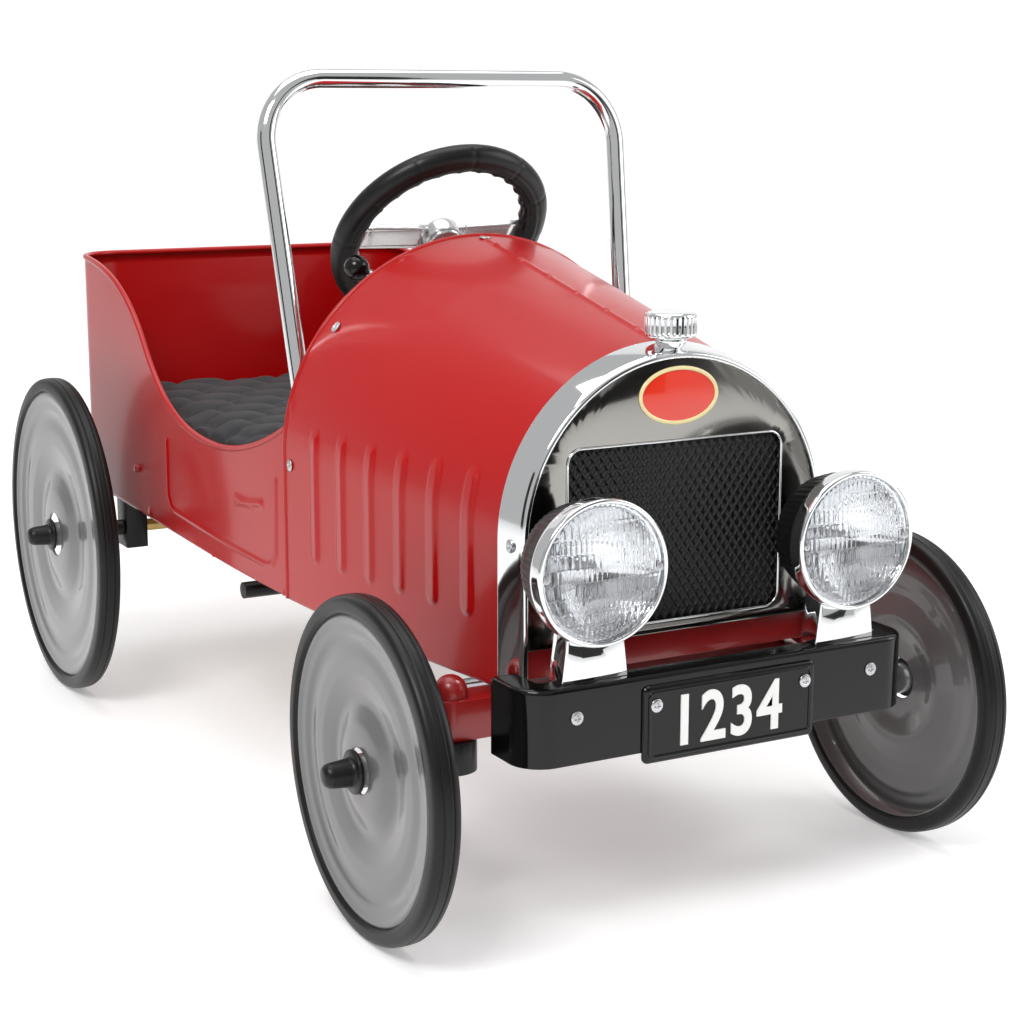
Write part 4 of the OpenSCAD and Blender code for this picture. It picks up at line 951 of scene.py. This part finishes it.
def buildSpokes():
    # Each arm is two rails that spread towards the hub, joined by rungs; a domed hub covers the middle.
    reach, parts = steering["rimR"] - steering["rimD"] + 4, []
    for s in (-1, 1):
        for v, v0 in ((8.0, 10.5), (-8.0, -5.0)):
            parts.append(bar("s", (s * 6, v0, 1.0), (s * reach, v, 0.5), 3.6, 5.0))
        for k in steering["rungs"]:
            parts.append(bar("s", (s * k, -7.5, 0), (s * k, 9.0, 0), 2.4, 3.4))
        parts.append(bar("s", (s * 8, 1.0, -1.6), (s * (reach - 1), 0, -1.6), 14.0, 0.9))
    a = np.linspace(0, 2 * np.pi, 72, endpoint=False)[:, None]
    profile = np.array([(0, -12), (12, -12), (13.6, -10), (14, -6), (14, 1), (13, 3), (11, 3.8),
                        (9, 4.4), (5, 5.2), (0, 5.4)])
    r, h = profile[None, :, 0], profile[None, :, 1]
    hub = gridMesh("s", onColumn(np.stack([r * np.cos(a), r * np.sin(a), h + 0 * a], -1)), closeRows=True)
    closeUp(hub)
    addPiece("steeringSpokes", joinMeshes("steeringSpokes", parts + [hub]), finish["silver_plastic"],
             "steering_spokes")


def buildKnob():
    low, high = boxMm("gear_knob")
    mid, r = (low + high) / 2, (high - low)[2] / 2
    a = np.linspace(-np.pi / 2, np.pi / 2, 40)
    profile = [(max(r * math.cos(k), 0.0), r * math.sin(k)) for k in a]
    profile[0], profile[-1] = (0, -r), (0, r)
    addPiece("gearKnob", lathe("gearKnob", profile, mid, "z", 1, 64), finish["gloss_black"], "gear_knob")


buildSteeringWheel()
buildSpokes()
buildKnob()
print("steering")

screwHead = {"r": 4.0, "h": 1.6, "crossHalf": 0.55, "crossReach": 2.3}
screwAt = {"bumperX": 103, "bumperUp": 2.5, "plateX": 52, "plateUp": 3, "sideUp": 99, "shellUp": 87.5,
           "archTilt": 37, "lensInset": 5.5, "lensScale": 0.55, "screenFromAxle": 277.6}


def headMesh(at, axis, scale=1.0):
    # A pan head: a low dome whose top is cut by a tapering cross.
    axis = np.array(axis, float) / np.linalg.norm(axis)
    side = np.cross(axis, (0.0, 0.0, 1.0) if abs(axis[2]) < 0.9 else (0.0, 1.0, 0.0))
    side /= np.linalg.norm(side)
    other = np.cross(axis, side)
    a = np.linspace(0, 2 * np.pi, 72, endpoint=False)[:, None]
    r = np.concatenate([np.linspace(0, 0.94, 18), [0.985, 1.0, 1.0, 0.0]])[None] * screwHead["r"]
    h = np.concatenate([1 - 0.35 * np.linspace(0, 0.94, 18) ** 2.4, [0.55, 0.4, 0.0, 0.0]])[None]
    h = h * screwHead["h"]
    u, v = r * np.cos(a + 0.5), r * np.sin(a + 0.5)
    half, reach = screwHead["crossHalf"], screwHead["crossReach"]
    arm = lambda p, q: (1 - smooth(np.abs(p), half - 0.15, half + 0.25)) * (
        1 - smooth(np.abs(q), reach - 0.5, reach + 0.2))
    h = h - 1.1 * np.maximum(arm(u, v), arm(v, u)) * (h > 0.7)
    grid = np.array(at) + scale * (u[..., None] * side + v[..., None] * other + h[..., None] * axis)
    mesh = gridMesh("s", grid, closeRows=True)
    closeUp(mesh)
    return mesh


def buildScrews():
    bumperLow = boxMm("bumper")[0]
    plateLow = boxMm("number_plate")[0]
    lampLow, lampHigh = boxMm("lamp_bezels")
    lampX, lampMid = lampHigh[0] - lamp["r"], (lampLow + lampHigh)[2] / 2
    dashMid = centreMm("dash_panel")[1]
    boltZ = baseZ + screwAt["sideUp"]
    down = 500 - screen["tube"] / 2 - boltZ
    boltY = frontAxle[1] + screwAt["screenFromAxle"] - down * math.tan(math.radians(screen["rake"]))
    archW = halfWidth(dashMid, bodyHalf)
    spring = alongBonnet(dashMid, bonnet["springFront"], bonnet["springRear"])
    ridge = alongBonnet(dashMid, bonnet["nose"], bonnet["cowl"])
    tilt = math.radians(screwAt["archTilt"])
    parts = [headMesh((0, dashMid, ridge), (0, 0, 1))]
    for s in (-1, 1):
        for x, face, up in ((screwAt["bumperX"], bumperLow[1], screwAt["bumperUp"]),
                            (screwAt["plateX"], plateLow[1], screwAt["plateUp"])):
            parts.append(headMesh((s * x, face, baseZ + up), (0, -1, 0)))
        parts.append(headMesh((s * halfWidth(boltY, bodyHalf), boltY, boltZ), (s, 0, 0)))
        parts.append(headMesh((s * archW * math.cos(tilt), dashMid,
                               spring + (ridge - spring) * math.sin(tilt)),
                              (s * math.cos(tilt), 0, math.sin(tilt))))
        parts.append(headMesh((s * (shellR + lipR) / 2, (shellRear + shellFront) / 2,
                               baseZ + screwAt["shellUp"]), (s, 0, 0)))
        for k in (-1, 1):
            reach = lamp["r"] - screwAt["lensInset"]
            parts.append(headMesh((s * lampX + k * reach, lampLow[1] + 1.4, lampMid), (0, -1, 0),
                                  screwAt["lensScale"]))
    addPiece("screwHeads", joinMeshes("screwHeads", parts), finish["screw_steel"], "screws")


buildScrews()
print("screws")

seat = {"start": 8.0, "voxel": 0.006, "pressure": 4.0, "cap": 9.0, "pitchX": 46.0, "pitchY": 34.0,
        "tuft": 7.0}


def buildSeat():
    low, high = boxMm("seat_cushion")
    s, r = seat["start"], 36.0
    w, y0, y1 = high[0] - s, low[1] + s, high[1] - s
    a = np.linspace(0, np.pi / 2, 9)
    right = np.concatenate([[[w, y0]], np.stack([w - r + r * np.cos(a), y1 - r + r * np.sin(a)], 1)])
    plan = np.concatenate([right, right[::-1] * (-1, 1)])
    z = np.array([low[2] + 1.5, low[2] + 1.5, high[2] - 10, high[2] - 10])
    mid = plan.mean(0)
    rings = [np.tile(mid, (len(plan), 1)), plan, plan, np.tile(mid, (len(plan), 1))]
    grid = np.stack([np.concatenate([p, np.full((len(p), 1), k)], 1) for p, k in zip(rings, z)])
    mesh = gridMesh("seatCushion", grid, closeCols=True)
    closeUp(mesh)
    piece = linkObject("seatCushion", mesh)
    bpy.context.view_layer.objects.active = piece
    piece.select_set(True)
    remesh = piece.modifiers.new("remesh", "REMESH")
    remesh.mode, remesh.voxel_size = "VOXEL", seat["voxel"]
    bpy.ops.object.modifier_apply(modifier="remesh")
    start = readPoints(piece.data)
    cloth = piece.modifiers.new("cloth", "CLOTH")
    cloth.settings.use_pressure = True
    cloth.settings.uniform_pressure_force = seat["pressure"]
    cloth.settings.effector_weights.gravity = 0
    scene = bpy.context.scene
    scene.frame_start, scene.frame_end = 1, 20
    cloth.point_cache.frame_start, cloth.point_cache.frame_end = 1, 20
    for f in range(1, 21):
        scene.frame_set(f)
    bpy.ops.object.modifier_apply(modifier="cloth")
    scene.frame_set(1)
    move = readPoints(piece.data) - start
    far = np.linalg.norm(move, axis=1)[:, None] + 1e-9
    writePoints(piece.data, start + move * np.minimum(1, seat["cap"] * 0.001 / far))
    finer = piece.modifiers.new("finer", "SUBSURF")
    finer.levels = finer.render_levels = 1
    bpy.ops.object.modifier_apply(modifier="finer")
    # biscuit tufting: staggered pillows with sewn channels drawn down between them, on the upper side
    p = readPoints(piece.data).astype(float) * 1000
    row = np.floor((p[:, 1] - low[1]) / seat["pitchY"])
    u = ((p[:, 0] / seat["pitchX"] + 0.5 * (row % 2)) % 1) * 2 - 1
    v = (((p[:, 1] - low[1]) / seat["pitchY"]) % 1) * 2 - 1
    pillow = np.clip((1 - np.abs(u) ** 3) * (1 - np.abs(v) ** 3), 0, 1) ** 0.5
    top = smooth(p[:, 2], high[2] - 24, high[2] - 12)
    p[:, 2] += top * (seat["tuft"] * pillow - seat["tuft"] * 0.45)
    # stays on its board, inside its walls and under its top
    p[:, 2] = np.clip(p[:, 2], low[2] + 0.2, high[2] + 3)
    p[:, 0] = np.clip(p[:, 0], low[0] + 0.3, high[0] - 0.3)
    p[:, 1] = np.clip(p[:, 1], low[1] + 0.3, high[1] - 0.3)
    writePoints(piece.data, p * 0.001)
    setSmooth(piece.data)
    piece.data.materials.clear()
    piece.data.materials.append(finish["fabric"])
    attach(piece, bodyOf["seat_cushion"])
    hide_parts("seat_cushion")


buildSeat()
print("seat")

studio = {"reach": 4.0, "floorBack": 2.4, "rise": 2.6, "curve": 1.1, "turn": -0.5, "glow": 0.28,
          "world": 0.5}


def plainMaterial(mesh, name, grey, roughness):
    # A grey without pattern for the studio's own surfaces.
    m, tree, shader = newMaterial(name)
    setInputs(tree, shader, Base_Color=(grey, grey, grey, 1), Roughness=roughness)
    mesh.materials.append(m)
    return shader


def buildFloor():
    # A level floor that curves up into a backdrop behind the car, along the camera's view.
    y = np.linspace(-studio["reach"], studio["floorBack"], 24)
    a = np.linspace(0, np.pi / 2, 24)[1:]
    c = studio["curve"]
    section = np.concatenate([np.stack([y, 0 * y], 1),
                              np.stack([y[-1] + c * np.sin(a), c - c * np.cos(a)], 1),
                              [[y[-1] + c, studio["rise"] + c]]])
    x = np.linspace(-studio["reach"], studio["reach"], 12)[:, None]
    turn = studio["turn"]
    px = x * math.cos(turn) - section[None, :, 0] * math.sin(turn)
    py = x * math.sin(turn) + section[None, :, 0] * math.cos(turn)
    mesh = gridMesh("floor", np.stack([px, py, np.broadcast_to(section[None, :, 1], px.shape)], -1) * 1000)
    setSmooth(mesh)
    o = linkObject("floor", mesh)
    shader = plainMaterial(mesh, "paleFloor", 0.86, 0.6)
    shader.inputs["Emission Color"].default_value = (1, 1, 1, 1)
    shader.inputs["Emission Strength"].default_value = studio["glow"]


def softbox(name, at, towards, power, size):
    data = bpy.data.lights.new(name, "AREA")
    data.shape, data.size, data.size_y, data.energy = "RECTANGLE", size[0], size[1], power
    o = linkObject(name, data)
    o.location = at
    run = np.array(towards, float) - np.array(at, float)
    o.rotation_euler = (math.acos(-run[2] / np.linalg.norm(run)), 0, math.atan2(run[1], run[0]) - math.pi / 2)


def flag(name, centre, halfX, halfZ, yaw):
    # A dark board out of the camera's sight, for the dark bands that polished metal shows.
    x, z = np.linspace(-halfX, halfX, 2)[:, None], np.linspace(-halfZ, halfZ, 2)[None]
    grid = np.stack([centre[0] + x * math.cos(yaw) + 0 * z, centre[1] + x * math.sin(yaw) + 0 * z,
                     centre[2] + z + 0 * x], -1) * 1000
    o = linkObject(name, gridMesh(name, grid))
    plainMaterial(o.data, "flagBlack", 0.01, 0.9)
    o.visible_camera = False
    o.visible_shadow = False


buildFloor()
softbox("keyLight", (-1.5, -1.2, 2.2), (0, 0, 0.2), 40, (1.1, 0.9))
softbox("topLight", (0.1, 0.2, 2.6), (0, 0, 0.2), 30, (2.2, 1.8))
softbox("fillLight", (2.0, -1.2, 1.2), (0, 0, 0.25), 16, (1.2, 1.4))
flag("flagFront", (0.75, -2.3, 0.95), 0.34, 0.5, 0.25)
flag("flagLeft", (-2.3, 0.1, 0.7), 0.35, 0.6, 1.5)
flag("flagLow", (0.1, -2.2, 0.28), 0.9, 0.2, 0.1)
world = bpy.data.worlds.new("studio")
world.use_nodes = True
world.node_tree.nodes["Background"].inputs["Color"].default_value = (1, 1, 1, 1)
world.node_tree.nodes["Background"].inputs["Strength"].default_value = studio["world"]
bpy.context.scene.world = world
bpy.context.scene.view_settings.view_transform = "Standard"

view = {"at": (-0.6475, -1.30085, 0.4743), "pitch": 0.194, "yaw": 0.5005, "lens": 69.85,
        "shift": (0.01048, -0.01428)}
cameraData = bpy.data.cameras.new("camera")
cameraData.sensor_width, cameraData.lens = 36, view["lens"]
cameraData.shift_x, cameraData.shift_y = view["shift"]
camera = linkObject("camera", cameraData)
camera.location = view["at"]
camera.rotation_euler = (math.pi / 2 - view["pitch"], 0, -view["yaw"])
bpy.context.scene.camera = camera
